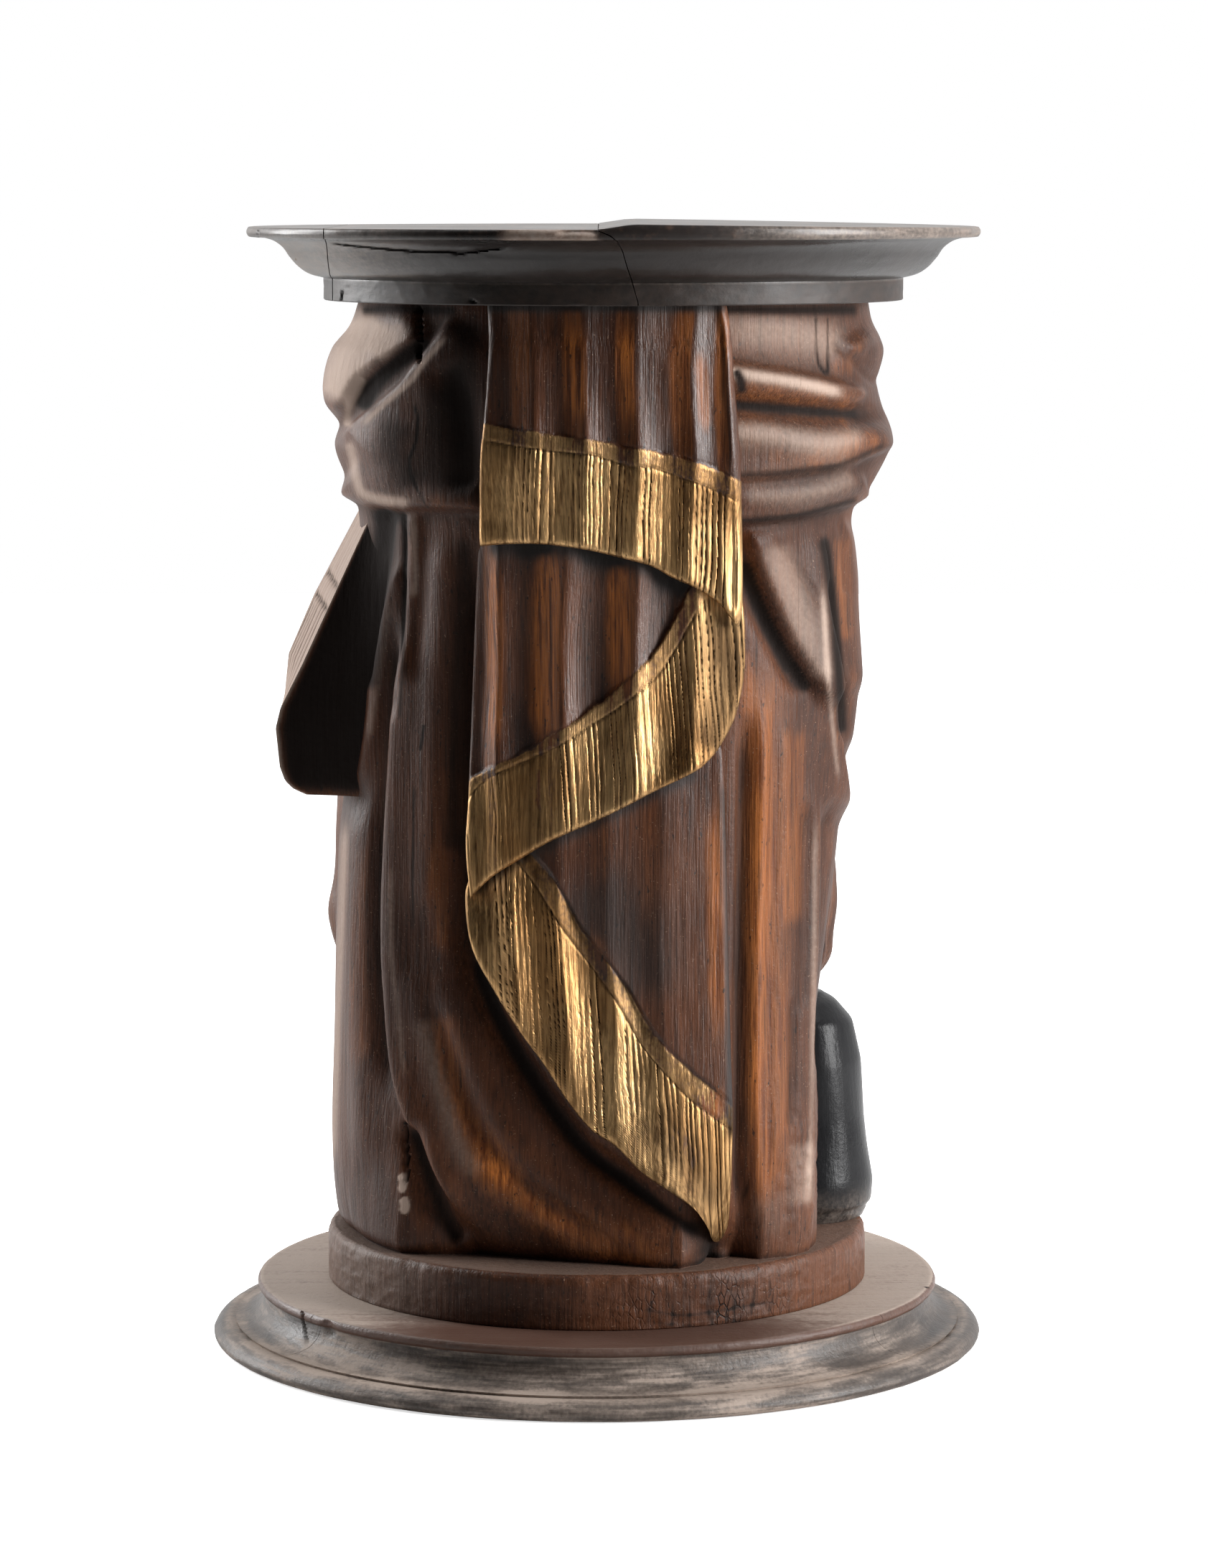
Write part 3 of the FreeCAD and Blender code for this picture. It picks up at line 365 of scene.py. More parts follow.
def path_distance(u, v, path):
    # Distance of picture points from a path, the same with its left positive, and the share along it
    line = smooth_path(path, max(24, 6 * len(path)))
    best = np.full(u.shape, 1e9)
    side = np.zeros(u.shape)
    along = np.zeros(u.shape)
    count = len(line) - 1
    for k in range(count):
        off, share = segment_distance(u, v, line[k], line[k + 1])
        dx, dy = line[k + 1] - line[k]
        near = off < best
        best = np.where(near, off, best)
        side = np.where(near, np.sign(dx * (v - line[k, 1]) - dy * (u - line[k, 0])), side)
        along = np.where(near, (k + share) / count, along)
    return best, best * side, along


def near_path(u, v, path, margin):
    # Which picture points are in the box of a path and its margin
    points = np.asarray(path, float)
    low = points.min(axis=0) - margin
    high = points.max(axis=0) + margin
    return (u > low[0]) & (u < high[0]) & (v > low[1]) & (v < high[1])


def fading_ends(path, along, fade, width):
    # 1 along a path, eased to 0 at its two ends over a share of it, or over a width if that is more
    length = np.hypot(*np.diff(np.asarray(path, float), axis=0).T).sum()
    share = min(max(fade, width / length), 0.5)
    return ease(0.0, share, along) * ease(1.0, 1.0 - share, along)


def strokes(u, v, rows, fade=0.12):
    # Sum of soft strokes, each given as (path, half width, amount)
    field = np.zeros(u.shape)
    for path, width, amount in rows:
        pick = near_path(u, v, path, 3 * width)
        off, _, along = path_distance(u[pick], v[pick], path)
        field[pick] += amount * bell(off, width) * fading_ends(path, along, fade, width)
    return field


def steps(u, v, rows, fade=0.12):
    # Sum of steps, each given as (path, ramp, reach, rise)
    field = np.zeros(u.shape)
    for path, ramp, reach, rise in rows:
        pick = near_path(u, v, path, 4 * reach)
        _, off, along = path_distance(u[pick], v[pick], path)
        face = np.where(off >= 0, bell(off, reach), ease(-ramp, 0.0, off))
        field[pick] += rise * face * fading_ends(path, along, fade, 0.4 * reach)
    return field


def crack_field(u, v, rows, depth=None):
    # Sum of cracks, each given as (path, half width, depth), or with one depth for all
    field = np.zeros(u.shape)
    for path, width, own_depth in rows:
        pick = near_path(u, v, path, 4 * width)
        shake = 0.6 * lattice(v[pick] / 12.0, u[pick] / 40.0, 5)
        off, _, along = path_distance(u[pick] + shake, v[pick], path)
        ends = ease(0.0, 0.08, along) * ease(1.0, 0.92, along)
        field[pick] -= (depth or own_depth) * ease(width, 0.4 * width, off) * ends
    return field


# Meshes

X_AXIS = Vector((1, 0, 0))
Y_AXIS = Vector((0, 1, 0))


def new_object(name, points, faces, fields):
    # Object from points in millimetres, with a float attribute for each named field
    mesh = bpy.data.meshes.new(name)
    mesh.from_pydata((np.asarray(points) * MM).tolist(), [], faces)
    for key, values in fields.items():
        layer = mesh.attributes.new(key, "FLOAT", "POINT")
        layer.data.foreach_set("value", np.asarray(values, np.float32).ravel())
    mesh.validate()
    piece = bpy.data.objects.new(name, mesh)
    bpy.context.collection.objects.link(piece)
    return piece


def grid_faces(rows, columns, start=0, closed=False, flip=False):
    # Four-sided faces of a grid of points stored row by row
    last = columns if closed else columns - 1
    row, column = np.meshgrid(np.arange(rows - 1), np.arange(last), indexing="ij")
    here = start + row * columns
    a = here + column
    b = here + (column + 1) % columns
    order = [a, a + columns, b + columns, b] if flip else [a, b, b + columns, a + columns]
    return np.stack([corner.ravel() for corner in order], axis=1).tolist()


def closed_body(name, points, fields):
    # Closed piece from rings of points, with its first and last ring filled
    rows, columns = points.shape[:2]
    faces = grid_faces(rows, columns, closed=True)
    faces.append(list(range(columns - 1, -1, -1)))
    faces.append(list(range((rows - 1) * columns, rows * columns)))
    return new_object(name, points.reshape(-1, 3), faces, fields)


def turned_body(name, profile, axis_x, wear, fields):
    # Closed turned body from a profile of (reach, level), bottom middle to top middle
    reach, level = np.asarray(profile, float).T
    degrees, radius = np.meshgrid(degrees_round(100.0, 0.5, 2.0), reach)
    height = level[:, None] + 0 * radius
    radius = wear(radius, height, degrees)
    x = axis_x + radius * np.sin(np.radians(degrees))
    y = -radius * np.cos(np.radians(degrees))
    return closed_body(name, np.stack([x, y, height], axis=2), fields(x, y, height))


def fix_normals(piece):
    # Turn all faces of a piece outwards
    mesh = bmesh.new()
    mesh.from_mesh(piece.data)
    bmesh.ops.recalc_face_normals(mesh, faces=mesh.faces[:])
    mesh.to_mesh(piece.data)
    mesh.free()


def cut_copy(source, name, axis, cuts):
    # Copy of a closed piece, cut across an axis at (place, side to clear), its cuts closed
    mesh = bmesh.new()
    mesh.from_mesh(source.data)
    for place, side in cuts:
        geometry = mesh.verts[:] + mesh.edges[:] + mesh.faces[:]
        bmesh.ops.bisect_plane(mesh, geom=geometry, dist=1e-7, plane_co=axis * place * MM,
                               plane_no=axis * side, clear_outer=True)
        rim = [edge for edge in mesh.edges if edge.is_boundary]
        bmesh.ops.edgenet_fill(mesh, edges=rim)
    bmesh.ops.recalc_face_normals(mesh, faces=mesh.faces[:])
    data = bpy.data.meshes.new(name)
    mesh.to_mesh(data)
    mesh.free()
    piece = bpy.data.objects.new(name, data)
    bpy.context.collection.objects.link(piece)
    return piece


def split_body(body, axis, joints, gap, names):
    # Pieces of a body, one for each name, cut across an axis at its joints
    pieces = []
    for k, name in enumerate(names):
        cuts = []
        if k > 0:
            cuts.append((joints[k - 1] + gap, -1))
        if k < len(joints):
            cuts.append((joints[k] - gap, 1))
        pieces.append(cut_copy(body, name, axis, cuts))
    bpy.data.objects.remove(body, do_unlink=True)
    return pieces


def finish_piece(piece, node, material, sharp=50.0):
    # Smooth faces with sharp edges, flat cut faces, a material, and the node that the piece stands for
    mesh = piece.data
    corners = np.zeros(len(mesh.polygons), int)
    mesh.polygons.foreach_get("loop_total", corners)
    mesh.polygons.foreach_set("use_smooth", corners <= 6)
    mesh.set_sharp_from_angle(angle=math.radians(sharp))
    mesh.materials.clear()
    mesh.materials.append(material)
    mesh.update()
    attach(piece, "root")
    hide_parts(node)


# Materials

class Recipe:
    # Short way to write a node tree: each call adds a node and returns its output

    def __init__(self, owner, shader="Principled BSDF"):
        owner.use_nodes = True
        self.owner = owner
        self.tree = owner.node_tree
        self.shader = self.tree.nodes[shader]

    def node(self, kind):
        return self.tree.nodes.new("ShaderNode" + kind)

    def set(self, socket, value):
        if hasattr(value, "is_output"):
            self.tree.links.new(value, socket)
        else:
            socket.default_value = value

    def attribute(self, name):
        node = self.node("Attribute")
        node.attribute_name = name
        return node.outputs["Fac"]

    def place(self, scale):
        # Object coordinates, stretched along each axis
        mapping = self.node("Mapping")
        mapping.inputs["Scale"].default_value = scale
        self.set(mapping.inputs["Vector"], self.node("TexCoord").outputs["Object"])
        return mapping.outputs["Vector"]

    def noise(self, scale, detail=4.0, roughness=0.55):
        node = self.node("TexNoise")
        self.set(node.inputs["Vector"], self.place(scale))
        node.inputs["Scale"].default_value = 1.0
        node.inputs["Detail"].default_value = detail
        node.inputs["Roughness"].default_value = roughness
        return node.outputs["Fac"]

    def cells(self, scale):
        # Distance from the borders of uneven cells
        node = self.node("TexVoronoi")
        node.feature = "DISTANCE_TO_EDGE"
        self.set(node.inputs["Vector"], self.place(scale))
        node.inputs["Scale"].default_value = 1.0
        return node.outputs["Distance"]

    def math(self, operation, a, b, clamp=False):
        node = self.node("Math")
        node.operation = operation
        node.use_clamp = clamp
        self.set(node.inputs[0], a)
        self.set(node.inputs[1], b)
        return node.outputs[0]

    def plus(self, a, b):
        return self.math("ADD", a, b)

    def minus(self, a, b):
        return self.math("SUBTRACT", a, b)

    def times(self, a, b):
        return self.math("MULTIPLY", a, b)

    def swing(self, noise, amount):
        # Noise about zero
        return self.times(self.minus(noise, 0.5), amount)

    def ramp(self, value, low, high, bottom=0.0, top=1.0, kind="SMOOTHSTEP"):
        node = self.node("MapRange")
        node.interpolation_type = kind
        self.set(node.inputs["Value"], value)
        for name, limit in (("From Min", low), ("From Max", high), ("To Min", bottom), ("To Max", top)):
            node.inputs[name].default_value = limit
        return node.outputs["Result"]

    def mix(self, share, a, b, blend="MIX"):
        node = self.node("Mix")
        node.data_type = "RGBA"
        node.blend_type = blend
        self.set(node.inputs[0], share)
        for socket, colour in ((node.inputs[6], a), (node.inputs[7], b)):
            self.set(socket, (*colour, 1.0) if isinstance(colour, tuple) else colour)
        return node.outputs[2]

    def shade(self, colour, least, fine, amount):
        # A colour, lighter or darker with fine noise
        return self.mix(1.0, colour, self.plus(least, self.times(fine, amount)), "MULTIPLY")

    def bump(self, height, strength):
        node = self.node("Bump")
        node.inputs["Strength"].default_value = strength
        node.inputs["Distance"].default_value = 0.0010
        self.set(node.inputs["Height"], height)
        self.set(self.shader.inputs["Normal"], node.outputs["Normal"])

    def finish(self, colour, roughness, metallic=0.0, specular=0.5):
        self.shader.inputs["Specular IOR Level"].default_value = specular
        self.set(self.shader.inputs["Base Color"], colour)
        self.set(self.shader.inputs["Roughness"], roughness)
        self.set(self.shader.inputs["Metallic"], metallic)
        return self.owner


# Colours
STAIN_DARK = (0.036, 0.0115, 0.0048)
STAIN_LIGHT = (0.096, 0.0335, 0.0140)
STAIN_STREAK = (0.020, 0.0075, 0.0040)
WORN_DARK = (0.110, 0.030, 0.007)
WORN_LIGHT = (0.270, 0.090, 0.024)
BARE_WOOD = (0.480, 0.150, 0.030)
PIT = (0.012, 0.006, 0.004)
FLECK = (0.320, 0.200, 0.135)
SPLIT = (0.008, 0.005, 0.004)
# Pale grey brown for dust, also used as painted sheen and highlights on lit crests, rims and the right hip
WOOD_DUST_AND_SHEEN = (0.450, 0.335, 0.270)
# Near black for painted shade in hollows, under edges and on shaded faces, and for dark cracks
WOOD_SHADE_AND_DARK_TONE = (0.010, 0.0055, 0.0040)
GOLD_DARK = (0.365, 0.190, 0.070)
GOLD_LIGHT = (0.670, 0.420, 0.192)
GOLD_STREAK = (0.110, 0.050, 0.016)
GOLD_GROOVE = (0.030, 0.016, 0.007)
# Pale grey for dust, also used as painted sheen and highlights on the lip, the moulding's ends and the disc's
# sides
PAINT_DUST_AND_SHEEN = (0.340, 0.272, 0.226)
# Near black for painted shade in hollows and under edges, and for dark cracks and the dark neck
PAINT_SHADE_AND_DARK_TONE = (0.010, 0.008, 0.007)


def stained_wood(r, streak, grain, patches, fine):
    # Colour of old stained wood: red brown, darker in streaks, worn to orange where the field says so; on the
    # sash that field also holds an orange tone painted on the flute slopes that face away from the key light
    colour = r.mix(r.ramp(patches, 0.30, 0.70), STAIN_DARK, STAIN_LIGHT)
    warm = r.plus(r.attribute("warm"), r.swing(grain, 1.6))
    worn = r.mix(r.ramp(streak, 0.3, 0.7), WORN_DARK, WORN_LIGHT)
    colour = r.mix(r.ramp(warm, 0.15, 1.05), colour, worn)
    bare = r.times(r.ramp(warm, 0.9, 2.0), r.ramp(streak, 0.36, 0.56))
    colour = r.mix(bare, colour, BARE_WOOD)
    colour = r.mix(r.times(r.ramp(streak, 0.52, 0.72), 0.6), colour, STAIN_STREAK)
    colour = r.shade(colour, 0.15, fine, 1.7)
    pits = r.ramp(r.noise((420.0, 420.0, 160.0), detail=2.0), 0.66, 0.72)
    colour = r.mix(r.times(pits, 0.8), colour, PIT)
    flecks = r.ramp(r.noise((760.0, 760.0, 760.0), detail=2.0), 0.66, 0.73)
    return r.mix(r.times(flecks, 0.50), colour, FLECK)


def carved_wood():
    # Robe, drum, legs and side sash end
    r = Recipe(bpy.data.materials.new("carved_wood"))
    grain = r.noise((45.0, 45.0, 5.0), detail=6.0, roughness=0.65)
    streak = r.noise((260.0, 260.0, 14.0))
    patches = r.noise((9.0, 9.0, 5.0), detail=5.0, roughness=0.6)
    speck = r.noise((300.0, 300.0, 300.0), detail=3.0)
    fine = r.noise((800.0, 800.0, 22.0), detail=3.0)
    colour = stained_wood(r, streak, grain, patches, fine)
    # Pale dust, and painted sheen and highlights, where the field puts them
    dust_and_sheen = r.ramp(r.plus(r.attribute("dust_and_sheen"), r.swing(speck, 0.35)), 0.05, 0.95)
    dust_and_sheen = r.math("MULTIPLY", dust_and_sheen, r.attribute("dust_and_sheen"), clamp=True)
    colour = r.mix(dust_and_sheen, colour, WOOD_DUST_AND_SHEEN)
    # Painted shade in hollows, under edges and on shaded faces, with dark cracks, from the shade field
    colour = r.mix(r.ramp(r.attribute("shade_and_dark_tone"), 0.05, 1.0), colour, WOOD_SHADE_AND_DARK_TONE)
    split = r.minus(1.0, r.ramp(r.cells((240.0, 240.0, 120.0)), 0.02, 0.11))
    split = r.times(r.times(split, r.ramp(grain, 0.36, 0.52)), r.attribute("split"))
    colour = r.mix(split, colour, SPLIT)
    height = r.plus(r.times(streak, 0.7), r.times(r.plus(speck, fine), 0.5))
    r.bump(r.minus(height, split), 0.6)
    roughness = r.plus(0.34, r.times(r.plus(streak, dust_and_sheen), 0.22))
    roughness = r.plus(roughness, r.times(r.attribute("shade_and_dark_tone"), 0.45))
    return r.finish(colour, roughness, specular=0.23)


def gilded_wood():
    # Sash: the same wood, with rubbed gold on its fringe and band
    r = Recipe(bpy.data.materials.new("gilded_wood"))
    grain = r.noise((50.0, 50.0, 6.0), detail=6.0, roughness=0.65)
    streak = r.noise((300.0, 300.0, 12.0))
    patches = r.noise((16.0, 16.0, 8.0), detail=5.0, roughness=0.6)
    speck = r.noise((450.0, 450.0, 300.0), detail=3.0)
    fine = r.noise((900.0, 900.0, 18.0), detail=3.0)
    wood = stained_wood(r, streak, grain, patches, fine)
    gold = r.mix(r.ramp(patches, 0.30, 0.70), GOLD_DARK, GOLD_LIGHT)
    gold = r.mix(r.times(r.ramp(streak, 0.44, 0.66), 0.64), gold, GOLD_STREAK)
    gold = r.shade(gold, 0.1, fine, 1.8)
    gold = r.mix(r.ramp(r.attribute("groove"), 0.10, 0.80), gold, GOLD_GROOVE)
    rubbed = r.times(r.attribute("warm"), r.ramp(streak, 0.35, 0.60))
    kept = r.plus(r.attribute("gold"), r.swing(speck, 0.7))
    kept = r.ramp(r.minus(kept, r.times(rubbed, 0.8)), 0.30, 0.80)
    colour = r.mix(kept, wood, gold)
    # Painted shade under the edges and in the valleys of the sash, from the shade field
    colour = r.mix(r.ramp(r.attribute("shade_and_dark_tone"), 0.05, 1.0), colour, WOOD_SHADE_AND_DARK_TONE)
    height = r.plus(r.times(streak, 0.7), r.times(speck, 0.35))
    r.bump(r.plus(height, r.times(fine, 0.6)), 0.6)
    roughness = r.plus(0.28, r.times(streak, 0.22))
    roughness = r.plus(roughness, r.times(r.attribute("shade_and_dark_tone"), 0.35))
    return r.finish(colour, roughness, r.times(kept, 0.90))


def painted_wood(name, dark, light, worn, grain_scale, mottle_scale, roughness, bumpy, specular):
    # Black paint over wood, worn to wood where the fields say so; pale with dust and painted sheen, and dark
    # with painted shade, where the fields say so
    r = Recipe(bpy.data.materials.new(name))
    patches = r.noise((16.0, 16.0, 16.0), detail=5.0)
    grain = r.noise(grain_scale, detail=5.0, roughness=0.6)
    speck = r.noise((380.0, 380.0, 380.0), detail=3.0)
    mottle = r.noise(mottle_scale, detail=5.0, roughness=0.70)
    colour = r.mix(r.ramp(patches, 0.3, 0.7), dark, light)
    wear = r.plus(r.attribute("warm"), r.swing(grain, 0.9))
    colour = r.mix(r.ramp(wear, 0.3, 0.8), colour, worn)
    uneven = r.plus(r.swing(speck, 1.2), r.swing(mottle, 1.6))
    # Pale dust, and painted sheen and highlights, where the field puts them
    dust_and_sheen = r.plus(r.attribute("dust_and_sheen"), r.times(uneven, r.attribute("dust_and_sheen")))
    dust_and_sheen = r.ramp(dust_and_sheen, 0.05, 0.95)
    colour = r.mix(dust_and_sheen, colour, PAINT_DUST_AND_SHEEN)
    # Painted shade on the front of the base, with dark cracks and the dark neck, from the shade field
    colour = r.mix(r.ramp(r.attribute("shade_and_dark_tone"), 0.1, 0.9), colour, PAINT_SHADE_AND_DARK_TONE)
    r.bump(r.plus(grain, r.times(r.plus(speck, mottle), 0.5)), bumpy)
    dull = r.plus(dust_and_sheen, r.minus(patches, 0.5))
    dull = r.plus(r.times(dull, 0.25), r.times(r.attribute("shade_and_dark_tone"), 0.30))
    return r.finish(colour, r.plus(roughness, dull), specular=specular)


def plain_material(name, colour, roughness, metallic, scale):
    # Hidden fixings: one colour with grain
    r = Recipe(bpy.data.materials.new(name))
    darker = tuple(0.6 * c for c in colour)
    grain = r.ramp(r.noise((scale, scale, scale)), 0.3, 0.7)
    return r.finish(r.mix(grain, darker, colour), roughness, metallic)


CARVED = carved_wood()
GILDED = gilded_wood()
BOOT = painted_wood(
    "boot_paint", dark=(0.008, 0.008, 0.009), light=(0.014, 0.014, 0.015), worn=(0.090, 0.050, 0.030),
    grain_scale=(180, 180, 8), mottle_scale=(120, 120, 90), roughness=0.28, bumpy=0.30, specular=0.16)
TOP = painted_wood(
    "top_paint", dark=(0.014, 0.011, 0.010), light=(0.028, 0.022, 0.020), worn=(0.150, 0.085, 0.058),
    grain_scale=(140, 6, 140), mottle_scale=(90, 12, 300), roughness=0.30, bumpy=0.20, specular=0.45)
BASE = painted_wood(
    "base_paint", dark=(0.020, 0.015, 0.013), light=(0.050, 0.037, 0.030), worn=(0.085, 0.039, 0.025),
    grain_scale=(6, 140, 140), mottle_scale=(14, 60, 560), roughness=0.42, bumpy=0.60, specular=0.45)
DOWEL = plain_material("dowel_wood", (0.42, 0.28, 0.16), 0.6, 0.0, 80)
IRON = plain_material("screw_iron", (0.16, 0.14, 0.13), 0.5, 0.8, 200)


# Figure: drum, ledge and robe are one carved surface, cut into its three glued blocks

SEAMS = (-121.0, 128.0)
SEAM_GAP = 0.03
HEM_TUCK = 7.0
HEM_TUCK_HEIGHT = 11.0
SASH_BED = 9.0
LEDGE_ROWS = 13
ROBE_LEVEL_STEP = 1.9
# Rounded rim of the drum: inward from its side, and below its top
DRUM_RIM = ((0.3, 4.0), (1.0, 2.2), (2.0, 1.0), (3.2, 0.4))


def blurred(field, rows, columns):
    # Mean over a window of grid points that runs round the figure
    padded = np.pad(field, ((rows, rows), (0, 0)), mode="edge")
    padded = np.concatenate([padded[:, -columns:], padded, padded[:, :columns]], axis=1)
    total = np.cumsum(np.cumsum(padded, axis=0), axis=1)
    total = np.pad(total, ((1, 0), (1, 0)))
    high = 2 * rows + 1
    wide = 2 * columns + 1
    block = total[high:, wide:] - total[:-high, wide:] - total[high:, :-wide] + total[:-high, :-wide]
    return block / (high * wide)


def robe_picture(degrees, z, reach):
    angle = np.radians(degrees)
    return to_picture(lean_at(z) + reach * np.sin(angle), -reach * np.cos(angle), z)


def front_folds(degrees, z):
    # Unseen front: rolls of the swag and hanging folds of the open robe
    rolls = 3.5 * np.sin((z - 552.0) / 44.0 * 2 * math.pi)
    rolls *= ease(548.0, 575.0, z) * ease(684.0, 660.0, z)
    hang = 4.0 * np.sin(np.radians(degrees) * 13.0 + 0.6 * np.sin(z / 90.0))
    return rolls + hang * ease(560.0, 520.0, z)


def robe_surface(degrees, z):
    # Reach of the carved robe, with its folds, its cracks, and how far each place shows from the back
    reach = robe_reach(degrees, z)
    seen = ease(-0.30, 0.02, np.cos(np.radians(degrees)))
    u, v = robe_picture(degrees, z, reach)
    lift = blurred(strokes(u, v, ROBE_RIDGES) + steps(u, v, ROBE_STEPS), 1, 1) * seen
    u, v = robe_picture(degrees, z, reach + lift)
    cracks = crack_field(u, v, ROBE_CRACKS) * seen
    lift += (1.0 - seen) * front_folds(degrees, z)
    worked = 0.20 * rough(degrees / 5.0, z / 90.0, 11) + 0.07 * rough(degrees / 1.6, z / 24.0, 21)
    eroded = bell(u - 1118, 32) * bell(v - 1630, 75) * seen
    worked += eroded * 1.3 * rough(degrees / 1.8, z / 7.0, 31)
    under = np.clip(1.0 - (z - FIGURE_BOTTOM) / HEM_TUCK_HEIGHT, 0.0, 1.0)
    tuck = HEM_TUCK * (1.0 - np.sqrt(1.0 - under * under)) * seen * (1.0 - 0.8 * ease(990, 1015, u))
    covered = np.zeros(z.shape)
    for edges in (FALL_EDGES, FOLD_EDGES, TAIL_EDGES):
        covered = np.maximum(covered, inside_edges(u, v, edges) * seen)
    body = reach + lift + worked + cracks - tuck - SASH_BED * covered
    # The robe may overhang the drum a little, never beyond its edge
    cap = DRUM_RADIUS - 2.6 + 60.0 * ease(FIGURE_BOTTOM, FIGURE_BOTTOM + 60.0, z)
    return np.minimum(body, cap), lift, cracks, seen


def drum_surface(turns, hem):
    # Radius and height of the drum's side, and of the ledge from its rim in to the hem
    side = [(DRUM_RADIUS - 0.8, DISC_TOP), (DRUM_RADIUS, DISC_TOP + 0.9)]
    side += [(DRUM_RADIUS, level) for level in np.linspace(DISC_TOP + 3.0, FIGURE_BOTTOM - 6.0, 24)]
    side += [(DRUM_RADIUS - inward, FIGURE_BOTTOM - below) for inward, below in DRUM_RIM]
    around = turns[None, :]
    wall, wall_z = (column[:, None] + 0 * around for column in np.array(side).T)
    hewn = np.abs(rough(around / 6.0, wall_z / 12.0, 41)) * ease(DISC_TOP, DISC_TOP + 4, wall_z)
    ragged = ease(0.1, 0.9, rough(around / 5.0, wall_z / 60.0, 47))
    wall = wall - 0.8 * hewn - 1.6 * ragged * ease(FIGURE_BOTTOM - 9, FIGURE_BOTTOM, wall_z)
    chipped = 1.2 * np.abs(rough(around / 5.0, around / 50.0, 43))
    edge = np.minimum(wall[-1:] - 0.8, DRUM_RADIUS - 4.0 - chipped)
    share = np.linspace(0.0, 1.0, LEDGE_ROWS)[:, None]
    ledge = edge + (np.minimum(hem, edge - 0.5) - edge) * share
    bumps = rough(around / 6.0, ledge / 9.0, 45) * ease(0.0, 0.2, share) * (1 - share)
    return wall, wall_z, ledge, FIGURE_BOTTOM - 0.1 + 0.3 * bumps


def figure_body():
    turns = degrees_round(104.0, 0.62, 2.6)
    levels = np.append(np.arange(FIGURE_BOTTOM + 0.5, FIGURE_TOP, ROBE_LEVEL_STEP), FIGURE_TOP)
    degrees, z = np.meshgrid(turns, levels)
    robe, lift, cracks, seen = robe_surface(degrees, z)
    wall, wall_z, ledge, ledge_z = drum_surface(turns, robe[:1])
    radius = np.vstack([wall, ledge, robe])
    height = np.vstack([wall_z, ledge_z, z])
    lean = lean_at(height)
    lean[:len(wall) + len(ledge)] = 0.0
    angle = np.radians(turns)[None, :]
    points = np.stack([lean + radius * np.sin(angle), -radius * np.cos(angle), height], axis=2)
    return closed_body("figure_body", points, figure_fields(points, lift, cracks, seen, len(wall)))


# Wear on the figure, as strokes of (path, half width, amount): stain rubbed to warm wood
WARM_STROKES = (
    (((1055, 880), (1062, 1000), (1066, 1200), (1070, 1400), (1070, 1720)), 34, 0.88),
    (((1110, 1000), (1108, 1300)), 18, 0.45),
    (((1046, 1080), (1045, 1300), (1052, 1580)), 15, 0.50),
    (((1040, 900), (1044, 1000)), 8, 0.40),
    (((1170, 740), (1180, 900)), 16, 0.5),
    (((1000, 555), (1100, 562), (1200, 580)), 24, 0.60),
    (((1060, 640), (1150, 636), (1230, 610)), 20, 0.55),
    (((1150, 500), (1195, 520)), 20, 0.45),
    (((640, 1600), (760, 1690), (860, 1740), (950, 1760)), 30, 0.80),
    (((610, 1400), (650, 1550), (720, 1660)), 24, 0.80),
    (((620, 1050), (605, 1260), (612, 1340)), 22, 0.50),
    (((490, 1150), (485, 1350), (500, 1500)), 26, 0.35),
    (((600, 760), (600, 1000)), 10, 0.30),
)
# Pale dust, and painted highlights and sheen along lit crests and rims and on the right hip
DUST_AND_SHEEN_STROKES = (
    (((540, 430), (500, 470), (478, 520), (470, 575)), 36, 1.10),
    (((570, 440), (545, 470), (515, 500)), 20, 0.60),
    (((507, 524), (497, 542), (487, 566), (483, 600)), 8, 0.9),
    (((628, 462), (595, 499), (571, 531), (532, 566), (497, 599)), 6, 0.75),
    (((484, 605), (492, 640), (497, 668), (512, 690), (580, 702)), 10, 0.8),
    (((960, 455), (1060, 458), (1140, 470), (1190, 490)), 36, 0.45),
    (((960, 512), (1075, 527), (1140, 540), (1185, 552)), 9, 0.65),
    (((960, 600), (1070, 606), (1150, 620), (1220, 600)), 22, 0.42),
    (((1030, 690), (1120, 690), (1200, 660)), 18, 0.35),
    (((980, 470), (1090, 500), (1210, 520)), 70, 0.18),
    (((980, 630), (1100, 645), (1220, 620)), 60, 0.20),
    (((1090, 740), (1120, 820), (1155, 920)), 56, 0.15),
    (((585, 1400), (610, 1500), (640, 1600), (680, 1650)), 24, 0.45),
    (((576, 706), (579, 800), (576, 840)), 7, 0.6),
    (((1075, 745), (1105, 820), (1135, 900), (1150, 960)), 24, 0.42),
    (((546, 830), (530, 930), (512, 1040)), 8, 0.35),
    (((546, 1190), (545, 1322), (553, 1396), (565, 1518)), 6, 0.40),
    (((1135, 1111), (1133, 1383), (1130, 1561), (1125, 1700)), 6, 0.45),
    (((1145, 805), (1157, 981), (1170, 1103)), 5, 0.5),
    (((1110, 1580), (1118, 1690)), 22, 0.45),
    (((482, 1110), (473, 1341), (464, 1600), (462, 1655)), 9, 0.7),
    (((1060, 1650), (1090, 1740)), 30, 0.3),
)
